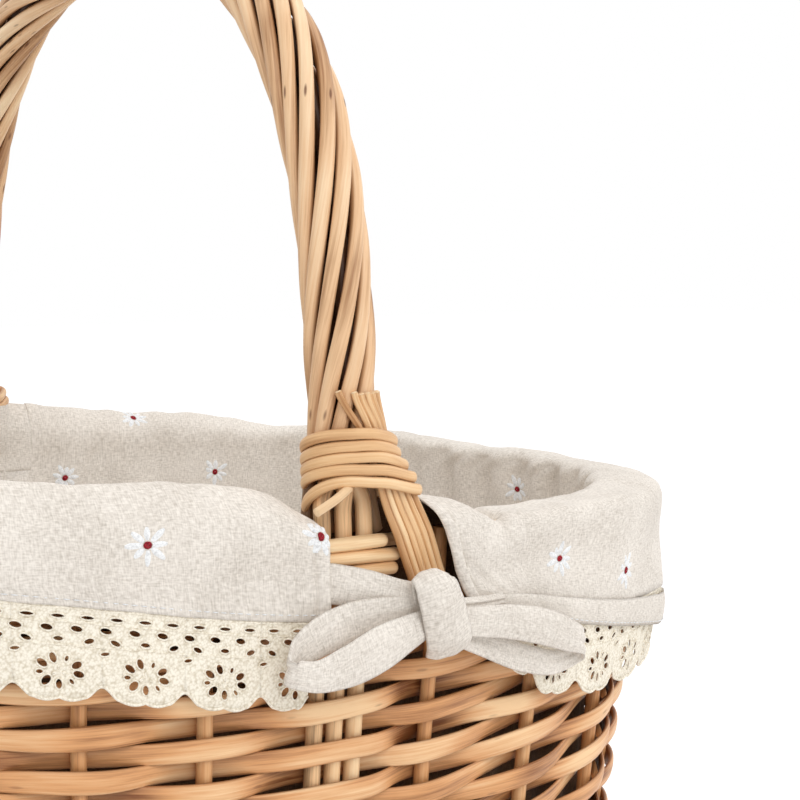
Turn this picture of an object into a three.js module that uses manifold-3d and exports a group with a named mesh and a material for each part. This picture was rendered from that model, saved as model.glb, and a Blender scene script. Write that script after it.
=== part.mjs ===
import * as THREE from 'three';
import Module from 'manifold-3d';

// An oval willow basket with a fixed roped bow handle and a tied cloth liner.
// Millimetres, +Z up, X along the oval, the near handle foot at -Y.
// The origin is under the middle of the oval, on the surface that it stands on.

// The oval wall
const rimHalfLength = 208;
const rimHalfWidth = 152;
const ovalPower = 2.7;
const rimHeight = 190;
const wallTaper = 0.1;
const fitGap = 0.3;

// Stakes, the upright rods of the wall
const stakeCount = 22;
const stakeDiameter = 5.4;
const stakeBunching = 14;
const stakeLean = 5.5;
const stakeSides = 6;

// Weavers, the two flat strips that chase each other round the wall
const weaverRows = 21;
const weaverPitch = 7.46;
const evenRows = 15;
const weaverThickness = 1.8;
const weaverGap = 0.6;
const endRise = 20;

// Rim, foot and base
const rimRodDiameter = 4.6;
const rimRodGap = 0.3;
const rimCourses = 3;
const innerRodDrop = 4.5;
const footRodDiameter = 5;
const footRodGap = 0.4;
const footCourses = 3;
const ringSides = 5;
const baseHoopDiameter = 5;
const baseStickDiameter = 4.6;
const baseStickCount = 3;
const baseMatThickness = 3;
const stickEndGap = 2;

// The bow handle: three rods, roped by nine more
const bowDiameter = 6;
const bowSpacing = 8.5;
const bowSides = 6;
const handleHalfSpan = 150.5;
const handleRiser = 43;
const handleArch = 173;
const handlePower = 2.45;
const ropeCount = 9;
const ropeDiameter = 5.2;
const ropeLay = 237;
const ropeSteps = 28;
const ropeSides = 5;
const ropeClearance = 0.5;

// The binding at each handle foot
const wrapTurns = 5;
const wrapRodDiameter = 3.2;
const wrapPitch = 4;
const wrapRise = 17;
const wrapTilt = 0.33;
const wrapTail = 6;
const wrapSteps = 16;
const wrapSides = 5;

// The flat bundle of split rods tucked under each binding
const bundleRods = 6;
const bundleRodDiameter = 3.1;
const bundleRodPitch = 3.4;
const bundleTipLength = 18;

// Cloth
const linerThickness = 1.4;
const linerInset = 10.5;
const flapOffset = 10.8;
const crestLeft = 24;
const crestFar = 18;
const crestRight = 4;
const crestRightEnd = 1.5;
const crestBesideLeft = 3;
const crestBesideRight = 9;
const hemDropLeft = 6;
const hemDropLeftFoot = 27.5;
const hemDropRight = 41;
const hemDropRightFoot = 30;
const bandTopDrop = 24.8;
const bandLowDrop = 29.6;
const bandTopFall = 18;
const bandLowFall = 29.5;
const hemBandThickness = 1.6;
const laceHeight = 30;
const laceThickness = 1;
const laceGap = 1.1;
const scallopLength = 28;

// Sizes that follow from the driving ones
const rimBand = rimCourses * rimRodDiameter + rimCourses * rimRodGap;
const footRodHeight = footRodDiameter * Math.cos(Math.PI / 6);
const footBand = footCourses * (footRodHeight + footRodGap);
const weaveBottom = footBand;
const weaveTop = rimHeight - rimBand;
const weaveHeight = weaveTop - weaveBottom;
const loosePitch = (weaveHeight - evenRows * weaverPitch) / (weaverRows - evenRows);
const rodOffset = bowDiameter / 2 + fitGap + rimRodDiameter / 2;
const footOffset = bowDiameter / 2 + fitGap + footRodDiameter / 2;
const weaverOffset = bowDiameter / 2 + fitGap + weaverThickness / 2;
const bundleRadius = (bowDiameter + fitGap) / Math.sqrt(3);
const ropeRadius = bundleRadius + bowDiameter / 2 + ropeClearance + ropeDiameter / 2;
const handleRadius = ropeRadius + ropeDiameter / 2;
const wrapBase = rimHeight + wrapRise;
const wrapTop = wrapBase + (wrapTurns - 1) * wrapPitch;
const handleTop = rimHeight + handleRiser + handleArch + handleRadius;

// Colours of the materials
const willow = new THREE.MeshStandardMaterial({ color: 0xc98f55, roughness: 0.6, metalness: 0 });
const peeledWillow = new THREE.MeshStandardMaterial({ color: 0xd9aa72, roughness: 0.55, metalness: 0 });
const linen = new THREE.MeshStandardMaterial({ color: 0xd9d2c8, roughness: 0.95, metalness: 0 });
const cottonLace = new THREE.MeshStandardMaterial({ color: 0xf3ead8, roughness: 0.9, metalness: 0 });

const basket = new THREE.Group();

function addPiece(name, geometry, material) {
  const mesh = new THREE.Mesh(geometry, material);
  mesh.name = name;
  basket.add(mesh);
  return mesh;
}

// Curves of the oval

// A point on the oval with its half-axes grown by the given amount
function ovalPoint(theta, growth) {
  const c = Math.cos(theta);
  const s = Math.sin(theta);
  const power = 2 / ovalPower;
  const x = (rimHalfLength + growth) * Math.sign(c) * Math.abs(c) ** power;
  const y = (rimHalfWidth + growth) * Math.sign(s) * Math.abs(s) ** power;
  return new THREE.Vector2(x, y);
}

// The rim's length from the near foot, counter-clockwise, against the angle on the oval
const arcSamples = 1440;
const arcAngles = [];
const arcLengths = [];
for (let i = 0; i <= arcSamples; i += 1) {
  const theta = -Math.PI / 2 + (2 * Math.PI * i) / arcSamples;
  const before = i === 0 ? 0 : arcLengths[i - 1];
  const step = i === 0 ? 0 : ovalPoint(theta, 0).distanceTo(ovalPoint(arcAngles[i - 1], 0));
  arcAngles.push(theta);
  arcLengths.push(before + step);
}
const rimLength = arcLengths[arcSamples];

function angleAt(arc) {
  const turns = Math.floor(arc / rimLength);
  const along = arc - turns * rimLength;
  let low = 0;
  let high = arcSamples;
  while (high - low > 1) {
    const middle = (low + high) >> 1;
    if (arcLengths[middle] <= along) low = middle;
    else high = middle;
  }
  const share = (along - arcLengths[low]) / (arcLengths[high] - arcLengths[low]);
  return arcAngles[low] + share * (arcAngles[high] - arcAngles[low]);
}

// The level outward direction of the wall
function wallNormal(arc) {
  const theta = angleAt(arc);
  const ahead = ovalPoint(theta + 0.01, 0);
  const behind = ovalPoint(theta - 0.01, 0);
  return new THREE.Vector3(ahead.y - behind.y, behind.x - ahead.x, 0).normalize();
}

// A point at a height, a distance out from the middle of the wall
function wallPoint(arc, height, out) {
  const flat = ovalPoint(angleAt(arc), -wallTaper * (rimHeight - Math.min(height, rimHeight)));
  return new THREE.Vector3(flat.x, flat.y, height).addScaledVector(wallNormal(arc), out);
}

// Stakes stand a little closer together at the handle's feet, and the two beside a foot
// lean towards the left of it; whole turns carry on
function stakeArc(index) {
  const fromFoot = Math.abs(index - Math.round((2 * index) / stakeCount) * (stakeCount / 2));
  const even = (index * rimLength) / stakeCount;
  const bunched = even - stakeBunching * Math.sin((4 * Math.PI * index) / stakeCount);
  return fromFoot === 1 ? bunched - stakeLean : bunched;
}

// Arcs at every stake between two ends, and halfway where the wall bends
function wallArcs(from, to) {
  const bends = (a, b) => {
    const middle = wallPoint((a + b) / 2, rimHeight, 0);
    return middle.distanceTo(wallPoint(a, rimHeight, 0).lerp(wallPoint(b, rimHeight, 0), 0.5)) > 1.6;
  };
  const arcs = [from];
  const first = Math.floor((from * stakeCount) / rimLength) - 1;
  const last = Math.ceil((to * stakeCount) / rimLength) + 1;
  for (let index = first; index <= last; index += 1) {
    const arc = stakeArc(index);
    if (arc > from + 8 && arc < to - 8) arcs.push(arc);
  }
  arcs.push(to);
  return arcs.flatMap((arc, i) => {
    const next = arcs[i + 1];
    return next !== undefined && bends(arc, next) ? [arc, (arc + next) / 2] : [arc];
  });
}

// Solids lofted from rings of points

function capTriangles(ring) {
  const centre = new THREE.Vector3();
  ring.forEach((point) => centre.addScaledVector(point, 1 / ring.length));
  const normal = new THREE.Vector3();
  ring.forEach((point, i) => {
    const next = ring[(i + 1) % ring.length];
    normal.add(point.clone().sub(centre).cross(next.clone().sub(centre)));
  });
  normal.normalize();
  const side = ring[0].clone().sub(centre).normalize();
  const up = normal.clone().cross(side);
  const flat = ring.map((point) => {
    const offset = point.clone().sub(centre);
    return new THREE.Vector2(offset.dot(side), offset.dot(up));
  });
  return THREE.ShapeUtils.triangulateShape(flat, []);
}

// Rings run counter-clockwise about the direction of travel
function loft(rings, closed = false) {
  const size = rings[0].length;
  const positions = rings.flat().flatMap((point) => [point.x, point.y, point.z]);
  const index = [];
  const spans = closed ? rings.length : rings.length - 1;
  for (let i = 0; i < spans; i += 1) {
    const here = i * size;
    const next = ((i + 1) % rings.length) * size;
    for (let j = 0; j < size; j += 1) {
      const k = (j + 1) % size;
      index.push(here + j, here + k, next + k, here + j, next + k, next + j);
    }
  }
  if (!closed) {
    const last = (rings.length - 1) * size;
    capTriangles(rings[0]).forEach(([a, b, c]) => index.push(c, b, a));
    capTriangles(rings[rings.length - 1]).forEach(([a, b, c]) => index.push(last + a, last + b, last + c));
  }
  return facingOut(positions, index);
}

// A closed solid whose faces look outwards, whichever way its rings ran
function facingOut(positions, index) {
  const corner = (i) => new THREE.Vector3(positions[3 * i], positions[3 * i + 1], positions[3 * i + 2]);
  const origin = corner(0);
  let volume = 0;
  for (let i = 0; i < index.length; i += 3) {
    const [a, b, c] = [index[i], index[i + 1], index[i + 2]].map((at) => corner(at).sub(origin));
    volume += a.dot(b.cross(c));
  }
  if (volume < 0) index.reverse();
  const geometry = new THREE.BufferGeometry();
  geometry.setAttribute('position', new THREE.Float32BufferAttribute(positions, 3));
  geometry.setIndex(index);
  geometry.computeVertexNormals();
  return geometry;
}

function circleRing(centre, side, up, radius, sides) {
  return Array.from({ length: sides }, (_, j) => {
    const angle = (2 * Math.PI * (j + 0.5)) / sides;
    return centre.clone()
      .addScaledVector(side, radius * Math.cos(angle))
      .addScaledVector(up, radius * Math.sin(angle));
  });
}

// Rings of a round rod along a path, carried without twist
function rodRings(points, radiusAt, sides) {
  const rings = [];
  let side = null;
  points.forEach((point, i) => {
    const before = points[Math.max(i - 1, 0)];
    const after = points[Math.min(i + 1, points.length - 1)];
    const along = after.clone().sub(before).normalize();
    if (!side) side = Math.abs(along.x) < 0.9 ? new THREE.Vector3(1, 0, 0) : new THREE.Vector3(0, 0, 1);
    side.addScaledVector(along, -side.dot(along)).normalize();
    const up = along.clone().cross(side);
    rings.push(circleRing(point, side, up, radiusAt(i), sides));
  });
  return rings;
}

function rod(points, diameter, sides) {
  return loft(rodRings(points, () => diameter / 2, sides));
}

// Rings of a level rod that follows the wall between two arcs
function wallRodRings(arcs, height, out, radiusAt, sides) {
  const up = new THREE.Vector3(0, 0, 1);
  return arcs.map((arc, i) => circleRing(wallPoint(arc, height, out), up, wallNormal(arc), radiusAt(i), sides));
}

function spread(from, to, count) {
  return Array.from({ length: count + 1 }, (_, i) => from + ((to - from) * i) / count);
}

function mix(a, b, share) {
  return a + (b - a) * share;
}

function smooth(value, from, to) {
  const share = Math.min(Math.max((value - from) / (to - from), 0), 1);
  return share * share * (3 - 2 * share);
}

// The same piece at the far side, mirrored across the long axis
function mirrored(geometry) {
  const copy = geometry.clone().scale(1, -1, 1);
  return facingOut(Array.from(copy.attributes.position.array), Array.from(copy.index.array));
}

// Stakes, one rod between every pair of crossings, none where the handle's rods stand
for (let index = 0; index < stakeCount; index += 1) {
  const atFoot = index % (stakeCount / 2) === 0;
  if (!atFoot) {
    const arc = stakeArc(index);
    const ends = [wallPoint(arc, fitGap, 0), wallPoint(arc, rimHeight - 1, 0)];
    const name = `stake_${String(index).padStart(2, '0')}`;
    addPiece(name, rod(ends, stakeDiameter, stakeSides), willow);
  }
}

// Weavers

// Height of a row, counted from the bottom and in parts of a row.
// The rows are looser near the rim, and they rise towards the ends of the oval.
function rowHeight(row, arc) {
  const count = row + 0.5;
  const even = Math.min(count, evenRows);
  const level = even * weaverPitch + (count - even) * loosePitch;
  const reach = wallPoint(arc, rimHeight, 0).x / rimHalfLength;
  return weaveBottom + level + endRise * reach * reach * Math.sin((Math.PI * level) / weaveHeight);
}

// Four corners of the strip, counter-clockwise about its travel
function stripRing(row, arc, out) {
  const low = rowHeight(row - 0.5, arc) + weaverGap / 2;
  const high = rowHeight(row + 0.5, arc) - weaverGap / 2;
  const inner = out - weaverThickness / 2;
  const outer = out + weaverThickness / 2;
  return [
    wallPoint(arc, high, inner),
    wallPoint(arc, high, outer),
    wallPoint(arc, low, outer),
    wallPoint(arc, low, inner),
  ].reverse();
}

// Stations along the strip: at each stake, and halfway to the next where the wall bends.
// At the handle's feet it keeps to one side past all three rods.
function weaverStations(firstStake, stakes, frontParity) {
  const reach = bowSpacing + bowDiameter / 2 + fitGap;
  const stations = [];
  for (let index = firstStake; index <= firstStake + stakes; index += 1) {
    const arc = stakeArc(index);
    const side = index % 2 === frontParity ? weaverOffset : -weaverOffset;
    const atFoot = index % (stakeCount / 2) === 0;
    if (atFoot && index > firstStake) stations.push({ arc: arc - reach, out: side });
    if (!atFoot || index === firstStake || index === firstStake + stakes) stations.push({ arc, out: side });
    if (atFoot && index < firstStake + stakes) stations.push({ arc: arc + reach, out: side });
    const next = stakeArc(index + 1);
    if (index < firstStake + stakes && wallArcs(arc, next).length > 2) {
      stations.push({ arc: (arc + next) / 2, out: 0 });
    }
  }
  return stations;
}

function weaver(firstStake, frontParity) {
  const stakes = (stakeCount * (weaverRows - 1)) / 2;
  const start = stakeArc(firstStake);
  const rings = weaverStations(firstStake, stakes, frontParity).map(({ arc, out }) => {
    const row = (2 * (arc - start)) / rimLength;
    return stripRing(row, arc, out);
  });
  return loft(rings);
}

addPiece('weaver_first', weaver(0, 1), willow);
addPiece('weaver_second', weaver(stakeCount / 2, 0), willow);

// Rim rods, laid outside the stakes in three courses, each of a left and a right rod
const courseNames = ['lower', 'middle', 'upper'];
const leftRodEnds = [19, 17.5, 13];
const rightRodStart = 52;

function rimRod(from, to, height) {
  const endLength = rimRodDiameter / 3;
  const arcs = [from, ...wallArcs(from + endLength, to - endLength), to];
  const last = arcs.length - 1;
  const radius = rimRodDiameter / 2;
  const radiusAt = (i) => (i === 0 || i === last ? radius * 0.5 : radius);
  return loft(wallRodRings(arcs, height, rodOffset, radiusAt, ringSides));
}

for (let course = 0; course < rimCourses; course += 1) {
  const height = rimHeight - (rimCourses - 0.5 - course) * (rimRodDiameter + rimRodGap);
  const end = leftRodEnds[course % leftRodEnds.length];
  const half = rimLength / 2;
  const left = rimRod(half - end, rimLength + end, height);
  const right = rimRod(rightRodStart, half - rightRodStart, height);
  addPiece(`rim_rod_left_${courseNames[course]}`, left, peeledWillow);
  addPiece(`rim_rod_right_${courseNames[course]}`, right, peeledWillow);
}

// A closed hoop that follows the wall, with flats above and below
function wallHoop(height, out, diameter) {
  const arcs = wallArcs(0, rimLength).slice(0, -1);
  const level = wallNormal(0).clone();
  return loft(arcs.map((arc) => {
    level.copy(wallNormal(arc));
    return Array.from({ length: 6 }, (_, j) => {
      const angle = (2 * Math.PI * (j + 0.5)) / 6;
      return wallPoint(arc, height, out + (diameter / 2) * Math.sin(angle))
        .add(new THREE.Vector3(0, 0, (diameter / 2) * Math.cos(angle)));
    });
  }), true);
}

addPiece('rim_rod_inside', wallHoop(rimHeight - innerRodDrop, -rodOffset, rimRodDiameter), peeledWillow);

// Foot rods, three hoops outside the stakes; the basket stands on the lowest
for (let course = 0; course < footCourses; course += 1) {
  const height = footRodHeight / 2 + course * (footRodHeight + footRodGap);
  addPiece(`foot_rod_${courseNames[course]}`, wallHoop(height, footOffset, footRodDiameter), willow);
}

// Base: a hoop inside the stakes, sticks along it and the woven mat on them
const hoopOffset = -(bowDiameter / 2 + fitGap + baseHoopDiameter / 2);
const hoopHeight = 5;
addPiece('base_hoop', wallHoop(hoopHeight, hoopOffset, baseHoopDiameter), willow);

const hoopArcs = wallArcs(0, rimLength).slice(0, -1);
const matBottom = 1 + baseStickDiameter + fitGap;
const matInset = hoopOffset - baseHoopDiameter / 2 - 0.6;
const matRings = [matBottom, matBottom + baseMatThickness].map((height) =>
  hoopArcs.map((arc) => {
    const edge = wallPoint(arc, hoopHeight, matInset);
    return new THREE.Vector3(edge.x, edge.y, height);
  }));
addPiece('base_mat', loft(matRings), willow);

const stickHeight = matBottom - fitGap - baseStickDiameter / 2;
for (let index = 0; index < baseStickCount; index += 1) {
  const share = (index - (baseStickCount - 1) / 2) / baseStickCount;
  const y = 2 * share * (rimHalfWidth - wallTaper * rimHeight) * 0.8;
  let reach = rimHalfLength;
  hoopArcs.forEach((arc, i) => {
    const a = wallPoint(arc, hoopHeight, matInset);
    const b = wallPoint(hoopArcs[(i + 1) % hoopArcs.length], hoopHeight, matInset);
    if ((a.y - y) * (b.y - y) <= 0 && a.y !== b.y) {
      reach = Math.min(reach, Math.abs(mix(a.x, b.x, (y - a.y) / (b.y - a.y))));
    }
  });
  const half = reach - stickEndGap;
  const ends = [new THREE.Vector3(-half, y, stickHeight), new THREE.Vector3(half, y, stickHeight)];
  addPiece(`base_stick_${index + 1}`, rod(ends, baseStickDiameter, stakeSides), willow);
}

// The bow handle

// Its middle line, from the rim up the riser and over the arch, in the plane of the feet
const archSteps = 12;
const handleLine = [];
handleLine.push(new THREE.Vector3(0, -rimHalfWidth, rimHeight));
handleLine.push(new THREE.Vector3(0, -mix(rimHalfWidth, handleHalfSpan, 0.6), rimHeight + handleRiser / 2));
for (let i = 0; i <= 2 * archSteps; i += 1) {
  const angle = (Math.PI * i) / (2 * archSteps);
  const c = Math.cos(angle);
  const y = -handleHalfSpan * Math.sign(c) * Math.abs(c) ** (2 / handlePower);
  const z = rimHeight + handleRiser + handleArch * Math.sin(angle) ** (2 / handlePower);
  handleLine.push(new THREE.Vector3(0, y, z));
}
handleLine.push(new THREE.Vector3(0, mix(rimHalfWidth, handleHalfSpan, 0.6), rimHeight + handleRiser / 2));
handleLine.push(new THREE.Vector3(0, rimHalfWidth, rimHeight));
const handleCurve = new THREE.CatmullRomCurve3(handleLine, false, 'centripetal');
handleCurve.arcLengthDivisions = 600;
const handleLength = handleCurve.getLength();

// A point at a distance along the handle, off its middle line: x is across, n is away from the middle
function handlePoint(distance, x, n) {
  const share = Math.min(Math.max(distance / handleLength, 0), 1);
  const point = handleCurve.getPointAt(share);
  const along = handleCurve.getTangentAt(share);
  return point
    .addScaledVector(new THREE.Vector3(0, -along.z, along.y), n)
    .add(new THREE.Vector3(x, 0, 0));
}

// The three rods stand side by side in the wall and close up to a triangle under the binding
const gatherStart = 3;
const gatherEnd = wrapBase + 1 - rimHeight;

function bowPoint(index, distance) {
  const fromEnd = Math.min(distance, handleLength - distance);
  const share = smooth(fromEnd, gatherStart, gatherEnd);
  const angle = Math.PI / 2 + (2 * Math.PI * (1 - index)) / 3;
  const x = mix((index - 1) * bowSpacing, bundleRadius * Math.cos(angle), share * share);
  const n = mix(0, bundleRadius * Math.sin(angle), share);
  return handlePoint(distance, x, n);
}

// Roping rods are laid round the three with one long twist
const ropeStart = wrapBase + 4 - rimHeight;
const ropeDistances = spread(ropeStart, handleLength - ropeStart, ropeSteps);

for (let index = 0; index < 3; index += 1) {
  const gather = spread(gatherStart, gatherEnd, 4);
  const last = gather.map((distance) => handleLength - distance).reverse();
  const points = [...gather, ...ropeDistances, ...last].map((distance) => bowPoint(index, distance));
  const footArc = (index - 1) * bowSpacing;
  const farArc = rimLength / 2 - footArc;
  points.unshift(wallPoint(footArc, fitGap, 0), wallPoint(footArc, rimHeight, 0));
  points.push(wallPoint(farArc, rimHeight, 0), wallPoint(farArc, fitGap, 0));
  addPiece(`handle_bow_rod_${index + 1}`, rod(points, bowDiameter, bowSides), willow);
}

for (let index = 0; index < ropeCount; index += 1) {
  const points = ropeDistances.map((distance) => {
    const turn = (2 * Math.PI * index) / ropeCount + (2 * Math.PI * (distance - ropeStart)) / ropeLay;
    return handlePoint(distance, -ropeRadius * Math.sin(turn), -ropeRadius * Math.cos(turn));
  });
  addPiece(`handle_roping_rod_${index + 1}`, rod(points, ropeDiameter, ropeSides), peeledWillow);
}

// Bundle: six split rods side by side, from the handle's outer face down across the rim.
// At the top they lie round the handle, turned by an angle; below they spread to a flat row,
// whose first and last rod are given across and outwards as shares of the round radius.
const bundleRoundRadius = handleRadius + fitGap + bundleRodDiameter / 2;
const underBinding = { first: [0.51, 0.9], last: [1.55, 0.655] };
const bundleStations = [
  { height: wrapTop + bundleTipLength, turn: -0.7, spread: 0, ...underBinding },
  { height: wrapTop + 3, turn: -0.26, spread: 0, ...underBinding },
  { height: wrapTop - 5, turn: -0.03, spread: 0.35, ...underBinding },
  { height: wrapBase + 6, turn: 0.12, spread: 0.7, ...underBinding },
  { height: wrapBase + 1, turn: 0.25, spread: 1, ...underBinding },
  { height: wrapBase - 7, turn: 0.25, spread: 1, first: [0.67, 0.845], last: [1.83, 0.64] },
  { height: rimHeight + 1, turn: 0.25, spread: 1, first: [1, 0.755], last: [2.13, 0.565] },
  { height: rimHeight - 7, turn: 0.25, spread: 1, first: [1.34, 0.7], last: [2.42, 0.52] },
  { height: weaveTop, turn: 0.25, spread: 1, first: [1.64, 0.7], last: [2.75, 0.485] },
  { height: weaveTop - 5, turn: 0.25, spread: 1, first: [1.84, 0.7], last: [2.94, 0.52] },
];

// Where a rod of the bundle lies at one of the stations: x is across, y is outwards
function bundleSpot(station, index) {
  const angle = station.turn + (index * bundleRodPitch) / bundleRoundRadius;
  const share = index / (bundleRods - 1);
  const round = new THREE.Vector2(Math.sin(angle), Math.cos(angle));
  const flat = new THREE.Vector2(...station.first).lerp(new THREE.Vector2(...station.last), share);
  return round.lerp(flat, station.spread).multiplyScalar(bundleRoundRadius);
}

function bundlePoint(station, index) {
  const spot = bundleSpot(station, index);
  if (station.height < rimHeight) return wallPoint(spot.x, station.height, spot.y);
  return handlePoint(station.height - rimHeight, spot.x, spot.y);
}

function bundle() {
  const radius = bundleRodDiameter / 2;
  const rings = bundleStations.map((station) => {
    const centres = Array.from({ length: bundleRods }, (_, i) => bundlePoint(station, i));
    const outline = centres.map((centre, i) => {
      const before = centres[Math.max(i - 1, 0)];
      const after = centres[Math.min(i + 1, bundleRods - 1)];
      const across = after.clone().sub(before).normalize();
      const front = across.clone().cross(new THREE.Vector3(0, 0, 1)).normalize();
      return { centre, across, front };
    });
    const face = (sign) => outline.flatMap(({ centre, front }, i) => {
      const crest = centre.clone().addScaledVector(front, sign * radius);
      if (i === bundleRods - 1) return [crest];
      const valley = centre.clone().lerp(outline[i + 1].centre, 0.5);
      return [crest, valley.addScaledVector(front, sign * radius * 0.4)];
    });
    const first = outline[0];
    const last = outline[bundleRods - 1];
    return [
      first.centre.clone().addScaledVector(first.across, -radius),
      ...face(1),
      last.centre.clone().addScaledVector(last.across, radius),
      ...face(-1).reverse(),
    ];
  });
  return loft(rings);
}

const nearBundle = bundle();
addPiece('bundle_near', nearBundle, peeledWillow);
addPiece('bundle_far', mirrored(nearBundle), peeledWillow);

// Binding: one rod drawn tight round the handle and the bundle, higher in front than behind,
// with its end slipping down at the left
const wrapReach = handleRadius + 2 * fitGap + wrapRodDiameter / 2;
const wrapRodReach = bundleRodDiameter / 2 + 4.5 * fitGap + wrapRodDiameter / 2;

// Places of the bundle's rods at a height
function bundleSpots(height) {
  const below = Math.max(bundleStations.findIndex((station) => station.height <= height), 1);
  const [high, low] = [bundleStations[below - 1], bundleStations[below]];
  const share = Math.min(Math.max((high.height - height) / (high.height - low.height), 0), 1);
  return Array.from({ length: bundleRods }, (_, i) => bundleSpot(high, i).lerp(bundleSpot(low, i), share));
}

function wrapPoint(turn) {
  const level = wrapBase + (wrapTurns - 1 - turn) * wrapPitch - wrapTail * smooth(turn, wrapTurns - 0.42, wrapTurns);
  const way = new THREE.Vector2(Math.sin(Math.PI * (1 - 2 * turn)), Math.cos(Math.PI * (1 - 2 * turn)));
  const lifted = (spot) => level + wrapTilt * (0.83 * spot.y - 0.55 * spot.x);
  const round = way.clone().multiplyScalar(wrapReach);
  const farthest = (height) => {
    const edges = bundleSpots(height).map((spot) => spot.addScaledVector(way, wrapRodReach));
    return [round, ...edges].reduce((far, edge) => (edge.dot(way) > far.dot(way) ? edge : far));
  };
  const far = farthest(lifted(farthest(lifted(round))));
  return handlePoint(lifted(far) - rimHeight, far.x, far.y);
}

const wrapEnd = wrapTurns - 0.15;
const wrapPath = spread(0, wrapEnd, Math.round(wrapSteps * wrapEnd)).map(wrapPoint);

// Least gap of the binding to itself, measured on points along its middle line
function leastGap(path, diameter, skip) {
  const fine = new THREE.CatmullRomCurve3(path).getSpacedPoints(path.length * 4);
  let least = Infinity;
  fine.forEach((a, i) => {
    for (let j = i + skip * 4; j < fine.length; j += 1) {
      least = Math.min(least, a.distanceTo(fine[j]));
    }
  });
  return least - diameter;
}

console.log('least gap of the binding to itself:', leastGap(wrapPath, wrapRodDiameter, 6).toFixed(2), 'mm');
const nearWrap = rod(wrapPath, wrapRodDiameter, wrapSides);
addPiece('handle_binding_near', nearWrap, peeledWillow);
addPiece('handle_binding_far', mirrored(nearWrap), peeledWillow);

// Cloth

// A sheet given by points and triangles, thickened to a closed solid
function thicken(points, triangles, thickness) {
  const sheet = new THREE.BufferGeometry();
  sheet.setAttribute('position', new THREE.Float32BufferAttribute(points.flatMap((p) => [p.x, p.y, p.z]), 3));
  sheet.setIndex(triangles.flat());
  sheet.computeVertexNormals();
  const normals = sheet.attributes.normal;
  const shift = (sign) => points.flatMap((p, i) => {
    const n = new THREE.Vector3().fromBufferAttribute(normals, i);
    const q = p.clone().addScaledVector(n, (sign * thickness) / 2);
    return [q.x, q.y, q.z];
  });
  const count = points.length;
  const index = [];
  const edges = new Map();
  triangles.forEach(([a, b, c]) => {
    index.push(a, b, c, count + c, count + b, count + a);
    [[a, b], [b, c], [c, a]].forEach(([from, to]) => edges.set(`${from} ${to}`, [from, to]));
  });
  edges.forEach(([from, to]) => {
    if (!edges.has(`${to} ${from}`)) {
      index.push(to, from, count + to, from, count + from, count + to);
    }
  });
  return facingOut([...shift(1), ...shift(-1)], index);
}

// Distance along the rim from the nearest handle foot
function fromFoot(arc) {
  return Math.min(Math.abs(arc), Math.abs(rimLength - arc), Math.abs(arc - rimLength / 2));
}

// Height that the cloth's fold stands above the rim, away from the handle's feet
function fullCrest(arc) {
  const share = (2 * arc) / rimLength;
  if (share > 1) return mix(crestFar, crestLeft, smooth(share, 1, 2));
  return mix(crestRight, crestRightEnd, smooth(share, 0.2, 0.32)) + (crestFar - crestRightEnd) * smooth(share, 0.62, 1);
}

// Beside the feet the left flap's fold comes down to the rim and the right one's stands up
function crestHeight(arc) {
  if (arc > rimLength / 2) return mix(crestBesideLeft, fullCrest(arc), smooth(fromFoot(arc), 12, 46));
  return mix(crestBesideRight, fullCrest(arc), smooth(fromFoot(arc), 28, 58));
}

function hemHeight(arc) {
  const away = fromFoot(arc);
  if (arc > rimLength / 2) return rimHeight - mix(hemDropLeftFoot, hemDropLeft, smooth(away, -5, 165));
  return rimHeight - mix(hemDropRightFoot, hemDropRight, smooth(away, 50, 130));
}

// Soft upright folds of the flaps
function fold(arc) {
  return 0.7 * Math.sin(arc / 17) + 0.5 * Math.sin(arc / 9.5 + 1);
}

// The edges of the two flaps beside the handle feet, ring by ring from the inside to the hem
const leftFlapEdges = [16, 16, 15, 13, 11, 9];
const rightFlapEdges = [24, 25, 28, 34, 43, 52];

// Rings of the bag, from its floor up the inside of the wall
const floorHeight = matBottom + baseMatThickness + linerThickness / 2 + 0.5;
const bagRings = [
  { height: floorHeight, out: -rimHalfWidth * 0.45 },
  { height: floorHeight, out: -linerInset - 12 },
  { height: floorHeight + 12, out: -linerInset - 3.5 },
  { height: mix(floorHeight, rimHeight, 0.5), out: -linerInset - 1.5 },
  { height: rimHeight - 6, out: -linerInset },
];

// Rings of the flap, over the fold and down the outside
const flapRings = [
  (arc) => ({ height: rimHeight + crestHeight(arc) * 0.6, out: -linerInset + 2 }),
  (arc) => ({ height: rimHeight + crestHeight(arc), out: 1.5 }),
  (arc) => ({ height: rimHeight + crestHeight(arc) * 0.6, out: flapOffset }),
  (arc) => ({ height: mix(rimHeight, hemHeight(arc), 0.5), out: flapOffset + 1.4 + fold(arc) }),
  (arc) => ({ height: hemHeight(arc), out: flapOffset + 1.4 + fold(arc) }),
];

const rightColumns = 20;
const leftColumns = 21;

// Columns run round the basket: right flap, one behind the far foot, left flap, one behind the near foot
function columnArc(column, ring) {
  const half = rimLength / 2;
  if (column <= rightColumns) {
    const edge = rightFlapEdges[ring];
    return mix(edge, half - edge, column / rightColumns);
  }
  if (column === rightColumns + 1) return half - 5;
  if (column <= rightColumns + leftColumns + 2) {
    const edge = leftFlapEdges[ring];
    return mix(half + edge, rimLength - edge, (column - rightColumns - 2) / leftColumns);
  }
  return rimLength + 5;
}

const columnCount = rightColumns + leftColumns + 4;

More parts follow.
